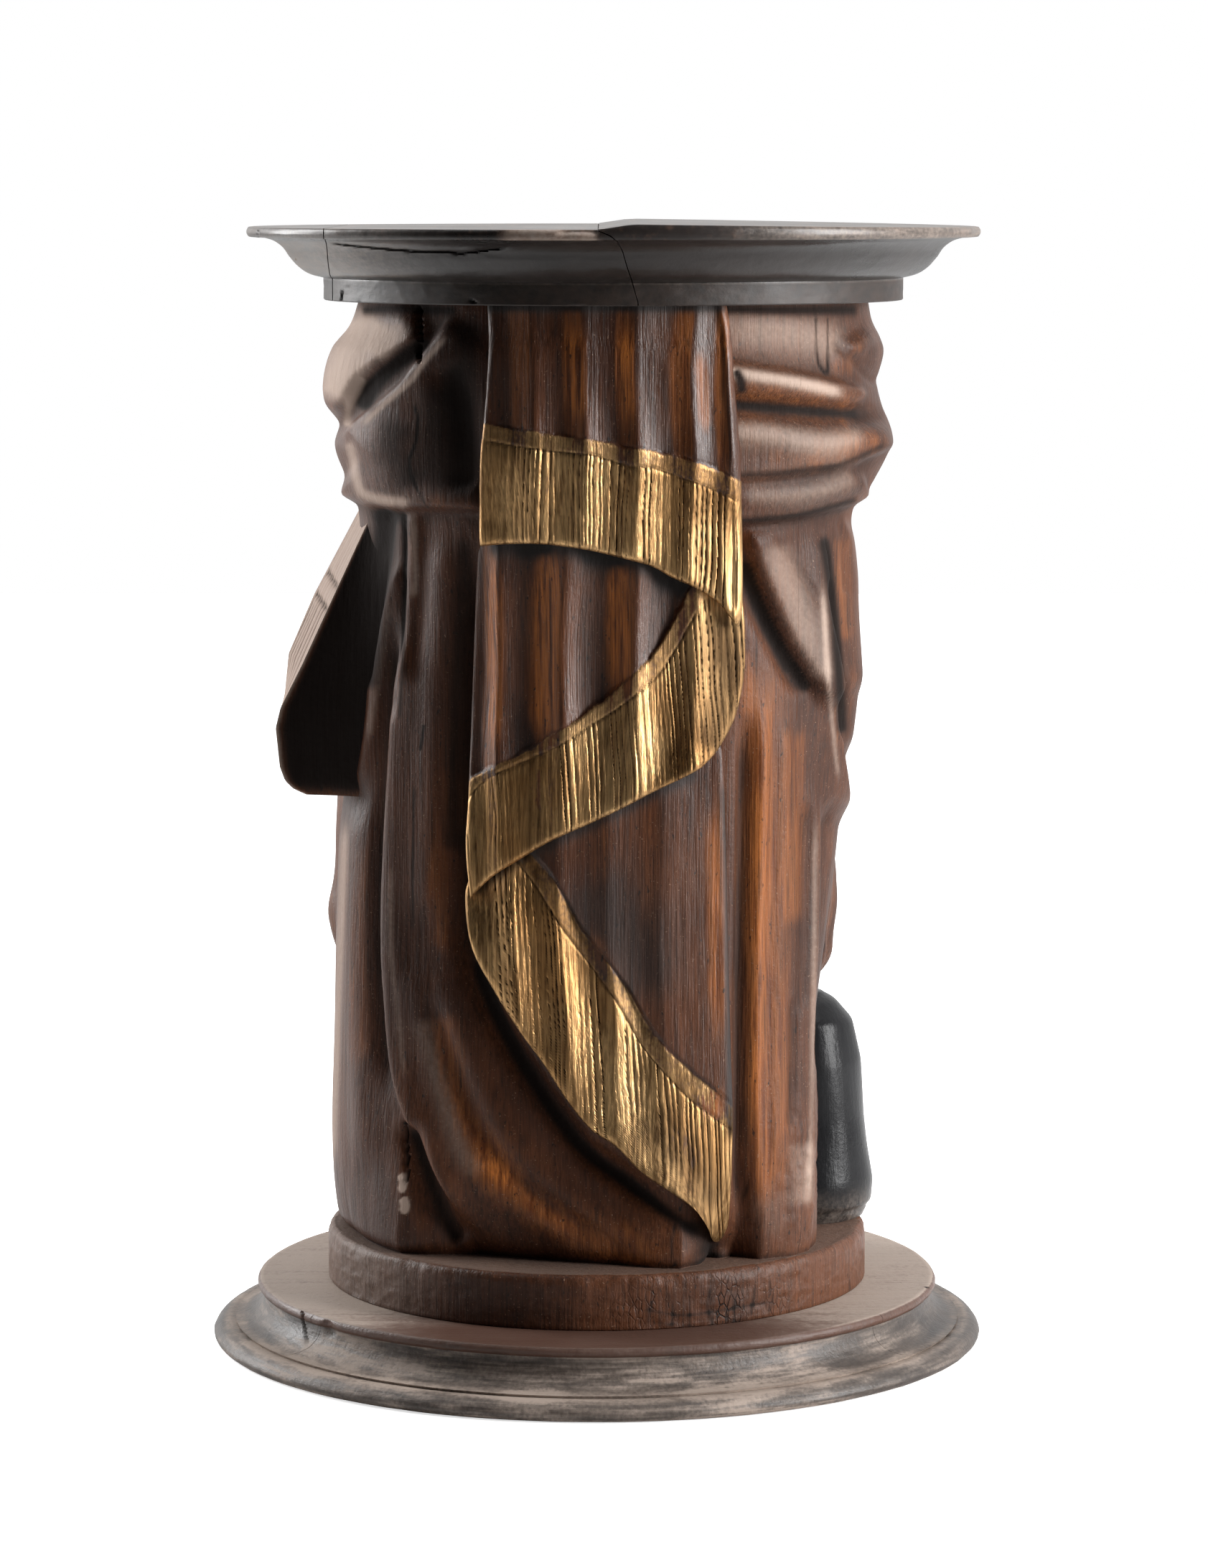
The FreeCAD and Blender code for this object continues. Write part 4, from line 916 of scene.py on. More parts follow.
# Painted shade in hollows, beside the sash and on shaded faces, painted shadows under the neck and under
# edges, and dark lines of cracks and seams
SHADE_AND_CRACK_STROKES = (
    (((645, 430), (648, 560), (652, 720)), 34, 0.70),
    (((610, 520), (600, 600), (605, 700)), 34, 0.55),
    (((600, 472), (572, 488), (545, 512), (518, 545), (505, 575)), 12, 0.85),
    (((560, 575), (545, 620), (560, 660), (580, 690)), 26, 0.55),
    (((1000, 562), (1100, 570), (1200, 578)), 8, 0.40),
    (((1000, 662), (1082, 659), (1133, 652), (1174, 646), (1240, 616)), 5, 0.70),
    (((1000, 728), (1092, 720), (1143, 710), (1199, 694)), 5, 0.80),
    (((1036, 780), (1062, 850), (1092, 905), (1128, 965)), 9, 0.65),
    (((648, 735), (640, 900), (632, 1080), (628, 1200)), 16, 0.70),
    (((540, 700), (535, 760), (525, 820), (514, 890), (503, 970)), 24, 1.1),
    (((564, 710), (565, 800), (562, 900), (556, 1010)), 4, 0.7),
    (((577, 1090), (576, 1175), (575, 1240), (575, 1300)), 2.2, 0.8),
    (((591, 1008), (588, 1030), (585, 1046)), 2.6, 1.0),
    (((575, 560), (581, 580), (580, 612), (571, 640), (575, 668), (597, 711)), 2.0, 0.6),
    (((1040, 1640), (1038, 1700)), 2.2, 0.7),
    (((940, 1705), (936, 1735), (940, 1766)), 2.2, 0.7),
    (((1137, 440), (1137, 480), (1141, 508), (1152, 523)), 2.0, 0.7),
    (((1153, 440), (1153, 524)), 2.0, 0.7),
    (((1022, 512), (1032, 530), (1034, 552)), 8, 1.0),
    (((500, 432), (560, 430), (640, 432)), 9, 0.8),
    (((1000, 430), (1100, 432), (1200, 432)), 9, 0.9),
    (((1033, 760), (1060, 850), (1100, 940)), 8, 0.3),
    (((1145, 740), (1158, 820), (1168, 920), (1174, 1030)), 9, 1.0),
    (((958, 1690), (985, 1735), (980, 1778)), 24, 0.75),
    (((660, 1330), (720, 1470), (800, 1590), (900, 1668), (975, 1722)), 9, 0.75),
    (((577, 1570), (592, 1630), (615, 1695), (645, 1740)), 12, 0.30),
)
# Checks in the side of the drum
DRUM_CHECKS = (
    (((896, 1800), (905, 1822), (902, 1846)), 2.6, 0.7),
    (((930, 1796), (938, 1830), (934, 1852)), 3, 0.9),
    (((962, 1800), (960, 1850)), 3, 0.8),
    (((990, 1792), (986, 1820), (994, 1850)), 3, 1.0),
    (((1020, 1798), (1024, 1846)), 3, 0.9),
    (((1052, 1790), (1046, 1834)), 3, 1.0),
    (((1072, 1780), (1076, 1812), (1070, 1830)), 3, 0.8),
    (((890, 1822), (950, 1832), (1010, 1824), (1080, 1812)), 2.6, 0.8),
    (((910, 1842), (980, 1848), (1050, 1838)), 2.6, 0.7),
    (((470, 1800), (560, 1836), (700, 1862)), 5, 0.5),
)
# Pale filler in the crack at the lower left
FILLER_STROKES = (
    (((556, 1634), (562, 1646), (558, 1662)), 5, 2.0),
    (((560, 1666), (564, 1678), (561, 1692)), 6, 2.0),
)


def figure_fields(points, lift, cracks, seen, wall_rows):
    # Wear, dust and painted sheen, and painted shade with dark cracks, of the figure, whose rows are the
    # drum's side, its ledge and the robe
    x, y, z = np.moveaxis(points, 2, 0)
    u, v = to_picture(x, y, z)
    low = wall_rows + LEDGE_ROWS

    def robe_rows(values):
        return np.vstack([np.zeros((low, values.shape[1])), values])

    facing = robe_rows(seen)
    crest = robe_rows(lift - blurred(lift, 6, 9))
    crowns = np.clip(crest, 0.0, 3.0)
    foot = ease(6.0, 0.0, z[low:] - FIGURE_BOTTOM)
    warm = strokes(u, v, WARM_STROKES) * facing + 0.10 * crowns
    dust_and_sheen = np.maximum(strokes(u, v, DUST_AND_SHEEN_STROKES), strokes(u, v, FILLER_STROKES, 0.02)) * facing
    # Crests a little paler: dust, and a painted sheen
    dust_and_sheen += 0.05 * crowns * facing
    # Painted shade in the hollows between the folds, and the strokes of painted shade and dark cracks
    shade_and_dark_tone = np.clip(-crest / 7.0, 0.0, 0.6) + strokes(u, v, SHADE_AND_CRACK_STROKES, 0.06) * facing
    # Dark in the open cracks, and painted shade at the foot of the robe
    shade_and_dark_tone += robe_rows(np.clip(-cracks / 2.5, 0.0, 1.0) + 0.5 * foot)
    # Drum: dust and a painted shadow of the hem on the ledge, worn wood on the rim, checks at the front right
    row = np.arange(len(z))[:, None]
    drum = row < wall_rows
    ledge = (row >= wall_rows) & (row < low)
    rim = (row >= wall_rows - 3) & (row < wall_rows + 2)
    warm += 0.12 * rim + 0.06 * drum * bell(u - 1000, 130)
    dust_and_sheen += 0.50 * ledge + drum * (0.18 + 0.02 * ease(900, 1150, u) + 0.28 * ease(700, 500, u))
    back = drum * (y < 0)
    shade_and_dark_tone += 0.40 * ledge + 0.7 * strokes(u, v, DRUM_CHECKS, 0.1) * back
    return {
        "warm": np.clip(warm, 0, 2),
        "dust_and_sheen": np.clip(dust_and_sheen, 0, 1.2),
        "shade_and_dark_tone": np.clip(shade_and_dark_tone, 0, 1),
        "split": back * bell(u - 990, 95) * bell(v - 1822, 40),
    }


def make_figure():
    sides = ("left", "centre", "right")
    blocks = split_body(figure_body(), X_AXIS, SEAMS, SEAM_GAP, ["block_" + side for side in sides])
    for block, side in zip(blocks, sides):
        finish_piece(block, "figure_block_" + side, CARVED)


# Sash: three lengths of cloth, each a patch between four edges in the picture

THREAD_DEPTH = 1.8
RULE_DEPTH = 0.7
EDGE_WIDTH = 9.0
EDGE_DROP = 2.2
DEEPEST_BACK = -14.0


def patch(left, right, top, bottom, columns, rows):
    # Picture points of a patch between four smooth edges
    across = np.linspace(0, 1, columns)[None, :, None]
    down = np.linspace(0, 1, rows)[:, None, None]
    a = smooth_path(left, rows)[:, None, :]
    b = smooth_path(right, rows)[:, None, :]
    c = smooth_path(top, columns)[None, :, :]
    d = smooth_path(bottom, columns)[None, :, :]
    corners = ((1 - across) * (1 - down) * a[:1] + across * (1 - down) * b[:1]
               + (1 - across) * down * a[-1:] + across * down * b[-1:])
    flat = (1 - across) * a + across * b + (1 - down) * c + down * d - corners
    return flat[..., 0], flat[..., 1]


def on_robe(u, v, proud):
    # Places on the robe, a given distance proud of it, that picture points show
    y = np.full(u.shape, -165.0)
    for _ in range(8):
        x, z = on_depth(u, v, y)
        off = x - lean_at(z)
        reach = robe_reach(np.degrees(np.arctan2(off, -y)), z) + proud
        y = -np.sqrt(np.maximum(reach ** 2 - off ** 2, 30.0 ** 2))
    x, z = on_depth(u, v, y)
    return np.stack([x, y, np.minimum(z, FIGURE_TOP)], axis=-1)


def between(value, crests):
    # Share of the way from one crest to the next, and the distance of the two
    place = np.clip(np.searchsorted(crests, value, side="right") - 1, 0, len(crests) - 2)
    crests = np.asarray(crests, float)
    width = crests[place + 1] - crests[place]
    return np.clip((value - crests[place]) / width, 0, 1), width


def scallops(value, crests, deep):
    # Flutes between crests: each drops from its crest on the right, runs out, and rises to the next
    share, width = between(value, crests)
    fall = 0.55
    down = 1.0 - (1.0 - np.clip(share / fall, 0, 1)) ** 2
    up = 1.0 - np.clip((share - fall) / (1.0 - fall), 0, 1) ** 1.8
    dip = np.where(share < fall, down, up)
    soft = 0.35
    dip = (np.sqrt(dip ** 2 + soft ** 2) - soft) / (math.sqrt(1.0 + soft ** 2) - soft)
    return -deep * dip * np.clip(width / 80.0, 0.3, 1.1)


def left_slope(value, crests):
    # 1 on the slope that rises to each crest from its left
    share, _ = between(value, crests)
    return ease(0.50, 0.70, share) * ease(1.0, 0.92, share)


def fringe(value, seed):
    # Carved threads: rise of each thread from 0 at its grooves to 1, and how deep it is cut
    random = np.random.RandomState(seed)
    widths = random.uniform(5.0, 12.5, 200)
    edges = value.min() - 10.0 + np.cumsum(widths)
    weight = random.uniform(0.2, 1.0, 202) ** 2
    place = np.clip(np.searchsorted(edges, value), 1, len(edges) - 1)
    share = np.clip((value - edges[place - 1]) / (edges[place] - edges[place - 1]), 0, 1)
    return np.sqrt(np.clip(4 * share * (1 - share), 0, 1)), weight[place]


def below_line(u, v, path):
    # 1 below a line that runs from left to right
    _, off, _ = path_distance(u, v, path)
    return ease(-3.0, 3.0, off + 1.5 * rough(u / 14.0, v / 14.0, 91))


def edge_round(u, v, edge):
    # How far the face turns back near an edge
    off, _, _ = path_distance(u, v, edge)
    near = np.clip(1.0 - off / EDGE_WIDTH, 0.0, 1.0)
    return EDGE_DROP * (1.0 - np.sqrt(1.0 - near * near))


def shell(name, front, back, fields):
    # Closed piece between a front and a back grid
    rows, columns = front.shape[:2]
    count = rows * columns
    faces = grid_faces(rows, columns, flip=True) + grid_faces(rows, columns, start=count)
    grid = np.arange(count).reshape(rows, columns)
    rim = np.concatenate([grid[0], grid[1:, -1], grid[-1, -2::-1], grid[-2:0:-1, 0]]).tolist()
    faces += [[a, b, count + b, count + a] for a, b in zip(rim, rim[1:] + rim[:1])]
    points = np.concatenate([front.reshape(-1, 3), back.reshape(-1, 3)])
    fields = {key: np.tile(value.ravel(), 2) for key, value in fields.items()}
    piece = new_object(name, points, faces, fields)
    fix_normals(piece)
    return piece


def sash_length(name, edges, lines, counts, seed, crests, deep, grow, plain, proud, thick, lean_way,
                rubbed, dark):
    # One length of the sash: fluted cloth, two ruled lines, and a gilt fringe beyond them
    u, v = patch(*edges, *counts)
    across = np.linspace(0, 1, counts[0])[None, :] + 0 * u
    down = np.linspace(0, 1, counts[1])[:, None] + 0 * u
    wander = u + 0.03 * (v - 600.0) * (across - 0.5) + 7.0 * lattice(u / 160.0, v / 130.0, seed + 5)
    gilt, beyond = (below_line(u, v, line) for line in lines)
    sway = 1.0 + 0.25 * lattice(u / 90.0, v / 170.0, seed + 6)
    flute = scallops(wander, crests, deep) * grow(down) * sway * (plain[0] + (plain[1] - plain[0]) * gilt)
    thread, weight = fringe(u + lean_way * (v - 600.0) + 2.5 * lattice(v / 60.0, u / 30.0, seed), seed + 1)
    cut = beyond * weight * (1.0 - thread)
    marks = strokes(u, v, ((lines[0], 1.6, 1.0), (lines[1], 1.8, 1.0)), 0.02)
    worked = 0.20 * rough(u / 30.0, v / 60.0, seed + 2)
    rise = proud(across, down) + flute + worked - THREAD_DEPTH * cut - RULE_DEPTH * marks
    left, right, _, bottom = edges
    for edge in (left, right, bottom):
        rise = rise - edge_round(u, v, edge)
    front = on_robe(u, v, rise)
    back = on_robe(u, v, np.maximum(rise - thick(across, down), DEEPEST_BACK))
    # Worn orange wood, painted only on the flute slopes that face away from the key light: wear, and a
    # painted tone for the side that gets no sheen
    worn = 0.85 * plain[0] * left_slope(wander, crests) * (1.0 - 0.6 * gilt)
    bare = strokes(u, v, rubbed, 0.3)
    # Painted shade in the flute valleys of the plain cloth
    hollow = (1.0 - gilt) * ease(0.45, 0.95, -flute / deep) * ease(0.9, 0.0, bare)
    piece = shell(name, front, back, {
        "gold": gilt * (0.66 + 0.34 * beyond),
        "groove": np.clip(cut * 1.3 + 0.5 * marks, 0, 1),
        "warm": np.clip(worn + bare, 0, 2),
        # Painted shade from the dark strokes and in the valleys
        "shade_and_dark_tone": np.clip(strokes(u, v, dark, 0.05) + 0.40 * hollow, 0, 1),
    })
    finish_piece(piece, "sash_" + name, GILDED, sharp=60.0)


def make_sash():
    # Crests of the flutes, how they grow downwards, how proud and thick the cloth is, its wear, and dark
    # strokes: painted shade under the edges above it, beside its right edge and in its curls, and darker
    # patches
    sash_length(
        "fall", FALL_EDGES, FALL_LINES, counts=(300, 130), seed=101,
        crests=(660, 745, 817, 889, 968, 1018, 1045), deep=7.0,
        grow=lambda d: 0.45 + 0.55 * ease(0.1, 0.8, d), plain=(1.0, 0.65),
        proud=lambda a, d: 9.0 + 5.0 * ease(0.35, 1.0, d) + 1.5 * bell(a - 0.975, 0.02),
        thick=lambda a, d: 14.0 - 9.5 * ease(0.75, 0.97, d), lean_way=0.02,
        rubbed=(
            (((1015, 440), (1022, 600)), 4, 0.5), (((760, 640), (770, 740)), 12, 0.4),
            (((800, 440), (806, 600)), 12, 1.2), (((872, 440), (876, 610)), 10, 1.2),
            (((972, 470), (984, 620)), 10, 1.1),
        ),
        dark=((((660, 428), (840, 428), (1020, 428)), 9, 0.9),))
    sash_length(
        "fold", FOLD_EDGES, FOLD_LINES, counts=(280, 150), seed=201,
        crests=(640, 691, 783, 887, 972, 1060), deep=7.0,
        grow=lambda d: 0.9 - 0.25 * ease(0.8, 1.0, d), plain=(1.15, 0.65),
        proud=lambda a, d: 4.5 + 8.0 * ease(0.30, 1.0, d) + 2.5 * ease(0.75, 1.0, a),
        thick=lambda a, d: 14.0 - 10.0 * ease(0.75, 0.97, d), lean_way=-0.06,
        rubbed=(
            (((690, 750), (688, 1080)), 10, 1.5), (((764, 740), (752, 1060)), 20, 1.9),
            (((750, 1060), (745, 1140)), 14, 0.5), (((860, 760), (864, 980)), 14, 1.5),
            (((835, 1020), (845, 1110)), 10, 0.25),
        ),
        dark=(
            (FALL_BOTTOM[:9], 20, 0.9),
            (((1000, 830), (1012, 900), (1010, 960), (990, 1030), (965, 1070)), 46, 0.64),
        ))
    sash_length(
        "tail", TAIL_EDGES, TAIL_LINES, counts=(260, 170), seed=301,
        crests=(640, 705, 775, 850, 925, 1045), deep=5.5,
        grow=lambda d: 1.0 - 0.75 * ease(0.35, 0.80, d), plain=(0.40, 1.0),
        proud=lambda a, d: 3.5 + 8.5 * ease(0.6, 0.0, a) * ease(0.0, 0.2, d) + 4.0 * ease(0.55, 1.0, d),
        thick=lambda a, d: 12.0 - 7.5 * ease(0.25, 0.05, a), lean_way=-0.05,
        rubbed=(
            (((690, 1250), (740, 1380), (800, 1500)), 30, 0.25), (((930, 1560), (980, 1640)), 30, 0.5),
            (((985, 1515), (1000, 1565)), 16, 1.2), (((820, 1300), (860, 1370)), 14, 0.6),
            (((992, 1080), (1000, 1480)), 14, 0.9),
        ),
        dark=(
            (FOLD_BOTTOM, 14, 0.8), (((1010, 1080), (1014, 1250), (1016, 1400), (1018, 1600)), 7, 0.8),
            (((790, 1200), (860, 1290), (930, 1420)), 70, 0.62),
            (((880, 1530), (950, 1620), (1005, 1710)), 50, 0.62),
        ))


# Side sash end: a flared block with a ruled and fringed outer face

# Shares of the height, and the shares of the reach that the back and outer corners have there
SIDE_LEVELS = (0.00, 0.02, 0.05, 0.10, 0.24, 0.31, 0.47, 0.68, 1.00)
SIDE_BACK = (0.905, 0.945, 0.972, 0.988, 1.000, 0.985, 0.915, 0.830, 0.700)
SIDE_OUTER = (0.905, 0.945, 0.970, 0.986, 0.998, 0.995, 0.980, 0.900, 0.750)
SIDE_REACH = 208.5
SIDE_BOTTOM = 366.0
SIDE_DROP = 182.0
SIDE_DEPTH = 95.0
# Faces round the block, in order, and the points across each
SIDE_BACK_FACE = 0
SIDE_OUTER_FACE = 1
SIDE_COUNTS = (40, 60, 24, 16)


def side_rings():
    # Rings of points round the block, the face that each point is on and the share across it
    share = np.linspace(0.0, 1.0, 90)
    back = np.interp(share, SIDE_LEVELS, SIDE_BACK) * SIDE_REACH
    outer = np.interp(share, SIDE_LEVELS, SIDE_OUTER) * SIDE_REACH
    root = 0.62 * SIDE_REACH + 0 * back
    corners = ((root, -0.74), (back, -0.48), (outer, 0.30), (root, 0.46))
    columns = []
    face = []
    along = []
    for k, count in enumerate(SIDE_COUNTS):
        ax, ay = corners[k]
        bx, by = corners[(k + 1) % 4]
        for t in np.linspace(0, 1, count, endpoint=False):
            x = -(ax + (bx - ax) * t)
            columns.append(np.stack([x, (ay + (by - ay) * t) * SIDE_DEPTH + 0 * x], axis=1))
            face.append(k)
            along.append(t)
    grid = np.stack(columns, axis=1)
    empty = 0 * grid[..., 0]
    return grid, share[:, None] + empty, np.array(face) + empty, np.array(along) + empty


def make_side_end():
    grid, share, face, along = side_rings()
    z = SIDE_BOTTOM + share * SIDE_DROP
    outer_face = face == SIDE_OUTER_FACE
    back_face = face == SIDE_BACK_FACE
    thread, weight = fringe(along * 58.0 + 2.0 * lattice(z / 30.0, along * 6.0, 61), 62)
    fringed = outer_face * ease(0.02, 0.06, along) * ease(0.98, 0.94, along)
    lower = 0.35 + 0.65 * ease(0.68, 0.64, share)
    rule = bell(share - 0.66 - 0.03 * along, 0.012) + bell(share - 0.74 - 0.03 * along, 0.012)
    cut = fringed * (lower * (0.5 + 0.5 * weight) * (1 - thread) + 0.35 * rule)
    hollow = back_face * 4.0 * np.sin(np.pi * along)
    grid[..., 0] += outer_face * 3.0 * cut
    grid[..., 1] += hollow
    rim = bell(share, 0.03) * (outer_face | back_face)
    edge = back_face * ease(0.90, 1.0, along) + outer_face * ease(0.06, 0.0, along)
    # The back face is painted dark as the shade of the fold, and a painted highlight runs along its edge with
    # the outer face; the outer face is pale with dust, and the cut threads and rules are darker
    piece = closed_body("side_end", np.concatenate([grid, z[..., None]], axis=2), {
        "warm": 0.15 + 0.5 * rim,
        "dust_and_sheen": np.clip(0.80 * outer_face + 0.9 * edge ** 3 + 0.15 * rim, 0, 1),
        "shade_and_dark_tone": np.clip(0.95 * back_face * (1 - edge) * (1 - 0.5 * rim) + 1.6 * cut, 0, 1),
    })
    fix_normals(piece)
    finish_piece(piece, "side_sash_end", CARVED, sharp=35.0)


# Trouser legs and boots: rounded sections, one over the other

# Sections: share of the height, the width, the reach back and the reach forward
LEG_SHARES = (
    (0.00, 0.68, 0.26, 0.32), (0.05, 0.90, 0.42, 0.47), (0.15, 1.00, 0.50, 0.55), (0.30, 0.93, 0.48, 0.55),
    (0.55, 0.86, 0.46, 0.56), (0.80, 0.80, 0.44, 0.57), (0.92, 0.64, 0.37, 0.46), (1.00, 0.30, 0.18, 0.22),
)
BOOT_SHARES = (
    (0.00, 0.84, 0.86, 0.93), (0.06, 0.97, 0.98, 1.00), (0.16, 1.00, 1.00, 0.98), (0.30, 0.93, 0.95, 0.80),
    (0.45, 0.87, 0.90, 0.56), (0.70, 0.81, 0.86, 0.48), (0.88, 0.68, 0.74, 0.42), (0.97, 0.42, 0.46, 0.27),
    (1.00, 0.22, 0.24, 0.14),
)
BOOT_HEIGHT = 150.0
BOOT_WIDTH = 90.0
BOOT_BACK = 0.38 * 127.0
BOOT_FORWARD = 0.62 * 127.0
BOOT_Y = 22.0
LEG_BOTTOM = FIGURE_BOTTOM + BOOT_HEIGHT
LEG_HEIGHT = 352.0
LEG_WIDTH = 148.0
LEG_DEPTH = 144.0
LEG_Y = 50.0
# Each side: name, x of the leg, x of the boot, step of the boot to the front
LIMB_PLACES = (("right", 89.0, 139.8, 0.0), ("left", -104.0, -108.0, 28.0))


def limb(name, table, height, place, width, back, forward, folds, fields):
    # Closed body from a table of height, width, reach back and reach forward shares
    table = np.array(table)
    levels = 1.0 - (1.0 - np.linspace(0.0, 1.0, 110)) ** 1.15
    kernel = np.ones(5) / 5.0
    shares = []
    for column in table.T[1:]:
        share = np.interp(levels, table[:, 0], column)
        shares.append(np.convolve(np.pad(share, 2, mode="edge"), kernel, mode="valid")[:, None])
    across, behind, ahead = shares
    angle, level = np.meshgrid(np.linspace(0, 2 * math.pi, 120, endpoint=False), levels)
    depth = np.where(np.cos(angle) > 0, behind * back, ahead * forward)
    swell = 1.0 + folds(level, angle)
    x = place[0] + across * width / 2 * np.sin(angle) * swell
    y = place[1] - depth * np.cos(angle) * swell
    z = place[2] + level * height
    piece = closed_body(name, np.stack([x, y, z], axis=2), fields(level, angle))
    fix_normals(piece)
    return piece


def leg_folds(level, angle):
    drape = 0.050 * np.sin(angle * 7.0 + 3.0 * level) * ease(0.05, 0.4, level)
    gathers = 0.030 * np.sin(angle * 17.0 + 2.0 * np.sin(level * 9.0)) * ease(0.30, 0.03, level)
    return drape + gathers + 0.03 * np.sin(level * 26.0 + angle) * ease(0.35, 0.1, level)


def leg_fields(level, angle):
    # Painted shade at the foot of the leg and in the hollows of its folds
    hollow = -np.minimum(leg_folds(level, angle), 0.0)
    return {
        "warm": 0.45 + 0 * level,
        "dust_and_sheen": 0.15 + 0 * level,
        "shade_and_dark_tone": 0.4 * ease(0.04, 0.0, level) + 4.0 * hollow,
    }


def boot_folds(level, angle):
    # A crease above the sole, and a slight unevenness
    return 0.008 * np.sin(angle * 5 + level * 9) - 0.03 * bell(level - 0.045, 0.012)


def boot_fields(level, angle):
    return {
        "warm": 0.30 * ease(0.2, 0.0, level),
        "dust_and_sheen": 0.30 * ease(0.25, 0.02, level),
        "shade_and_dark_tone": 0 * level,
    }


def make_limbs():
    for side, leg_x, boot_x, step in LIMB_PLACES:
        leg = limb("leg_" + side, LEG_SHARES, LEG_HEIGHT, (leg_x, LEG_Y, LEG_BOTTOM),
                   LEG_WIDTH, LEG_DEPTH, LEG_DEPTH, leg_folds, leg_fields)
        finish_piece(leg, "trouser_leg_" + side, CARVED)
        boot = limb("boot_" + side, BOOT_SHARES, BOOT_HEIGHT, (boot_x, BOOT_Y + step, FIGURE_BOTTOM),
                    BOOT_WIDTH, BOOT_BACK, BOOT_FORWARD, boot_folds, boot_fields)
        finish_piece(boot, "boot_" + side, BOOT)


# Turned pieces: top and base

def arc_through(a, b, c, count):
    # Points on the circle through three profile points, from the first to the last
    (ax, ay), (bx, by), (cx, cy) = a, b, c
    d = 2 * (ax * (by - cy) + bx * (cy - ay) + cx * (ay - by))
    a2 = ax * ax + ay * ay
    b2 = bx * bx + by * by
    c2 = cx * cx + cy * cy
    mx = (a2 * (by - cy) + b2 * (cy - ay) + c2 * (ay - by)) / d
    my = (a2 * (cx - bx) + b2 * (ax - cx) + c2 * (bx - ax)) / d
    start = math.atan2(ay - my, ax - mx)
    mid = (math.atan2(by - my, bx - mx) - start + math.pi) % (2 * math.pi) - math.pi
    end = (math.atan2(cy - my, cx - mx) - start + math.pi) % (2 * math.pi) - math.pi
    if mid * end < 0:
        end += math.copysign(2 * math.pi, mid)
    turn = start + np.linspace(0, end, count)
    radius = math.hypot(ax - mx, ay - my)
    return list(zip(mx + radius * np.cos(turn), my + radius * np.sin(turn)))


def dents(radius, height, degrees, axis_x, cracks, chips):
    # Cracks and chips, as lengths to add to the radius, on the side that the picture shows
    angle = np.radians(degrees)
    u, v = to_picture(axis_x + radius * np.sin(angle), -radius * np.cos(angle), height)
    return ease(0.0, 0.2, np.cos(angle)) * (crack_field(u, v, cracks) - strokes(u, v, chips))


# Top: three planks turned as one, the right one cupped

# Hollow and swelling of the moulding: shares of the way out and of the way up
CYMA_SHARES = ((0.0, 0.0), (0.24, 0.10), (0.41, 0.28), (0.54, 0.50), (0.64, 0.72), (0.79, 0.90), (1.0, 1.0))
# Cracks and chips: path, half width, depth
TOP_CRACKS = (
    (((454, 338), (500, 343), (565, 349), (620, 351), (648, 352), (687, 347), (712, 345)), 1.7, 2.0),
    (((359, 320), (359, 333)), 1.4, 1.5),
    (((476, 405), (475, 424)), 1.8, 2.0),
    (((655, 417), (662, 423)), 2.0, 1.5),
)
LIP_CHIPS = ((((776, 327), (800, 323), (838, 325)), 5.0, 2.4),)
# The bent joint, where it shows on the outside
TOP_JOINT = ((833, 322), (850, 329), (862, 338), (868, 352), (873, 370), (880, 390), (886, 412), (889, 421))
TOP_JOINT_LEFT = LEAN - 180.0
TOP_JOINT_RIGHT = LEAN + 8.0
TOP_GAP = 0.3


def joint_line(levels, reaches):
    # Heights of the bent joint and its x there, from picture points on the outside of the top
    heights = []
    places = []
    for u, v in TOP_JOINT:
        y = -LIP_RADIUS
        for _ in range(6):
            x, z = on_depth(u, v, y)
            y = -np.interp(z, levels, reaches)
        heights.append(z)
        places.append(x)
    order = np.argsort(heights)
    return np.array(heights)[order], np.array(places)[order]


def slide(piece, heights, places, sign):
    # Move a piece sideways, level by level, so that the bent joint becomes upright, or back
    for vertex in piece.data.vertices:
        vertex.co.x -= sign * np.interp(vertex.co.z / MM, heights, places) * MM


def raise_cupped(piece, joint_x):
    # Lift the lip of the cupped plank: most beside its joint, none at its far end
    span = LIP_RADIUS + LEAN - TOP_JOINT_RIGHT
    for vertex in piece.data.vertices:
        x = vertex.co.x / MM
        lifted = np.clip((vertex.co.z / MM - LIP_BOTTOM) / (STAND_TOP - LIP_BOTTOM), 0.0, 1.0)
        hump = ease(-6.0, 26.0, x - joint_x) * np.clip(1.0 - (x - TOP_JOINT_RIGHT) / span, 0.0, 1.0)
        vertex.co.z += CUPPED_RISE * lifted * hump * MM


def top_profile(cyma):
    profile = [(2.0, FIGURE_TOP), (NECK_RADIUS - 12.0, FIGURE_TOP), (NECK_RADIUS - 0.7, FIGURE_TOP + 0.1)]
    profile += [(NECK_RADIUS, FIGURE_TOP + rise) for rise in np.linspace(0.8, 13.6, 14)]
    profile += [tuple(point) for point in cyma]
    profile += [(CYMA_TOP_RADIUS + 1.0, LIP_BOTTOM), (LIP_RADIUS - 2.6, LIP_BOTTOM)]
    profile += arc_through((LIP_RADIUS - 1.6, LIP_BOTTOM + 0.2), (LIP_RADIUS, LIP_BOTTOM + 3.3),
                           (LIP_RADIUS - 1.4, STAND_TOP - 0.2), 9)
    flat = (LIP_RADIUS - 3.0, LIP_RADIUS - 6.0, 225.0, 205.0, 180.0, 150.0, 110.0, 70.0, 30.0, 2.0)
    return profile + [(radius, STAND_TOP) for radius in flat]


def top_wear(radius, height, degrees):
    worn = 0.35 * np.abs(rough(degrees / 7.0, height / 9.0, 51))
    cracks = dents(radius, height, degrees, LEAN, TOP_CRACKS, ())
    chip = dents(radius, height, degrees, LEAN, (), LIP_CHIPS) * ease(LIP_BOTTOM, STAND_TOP, height)
    return radius + ease(150.0, 180.0, radius) * (cracks + chip - worn)


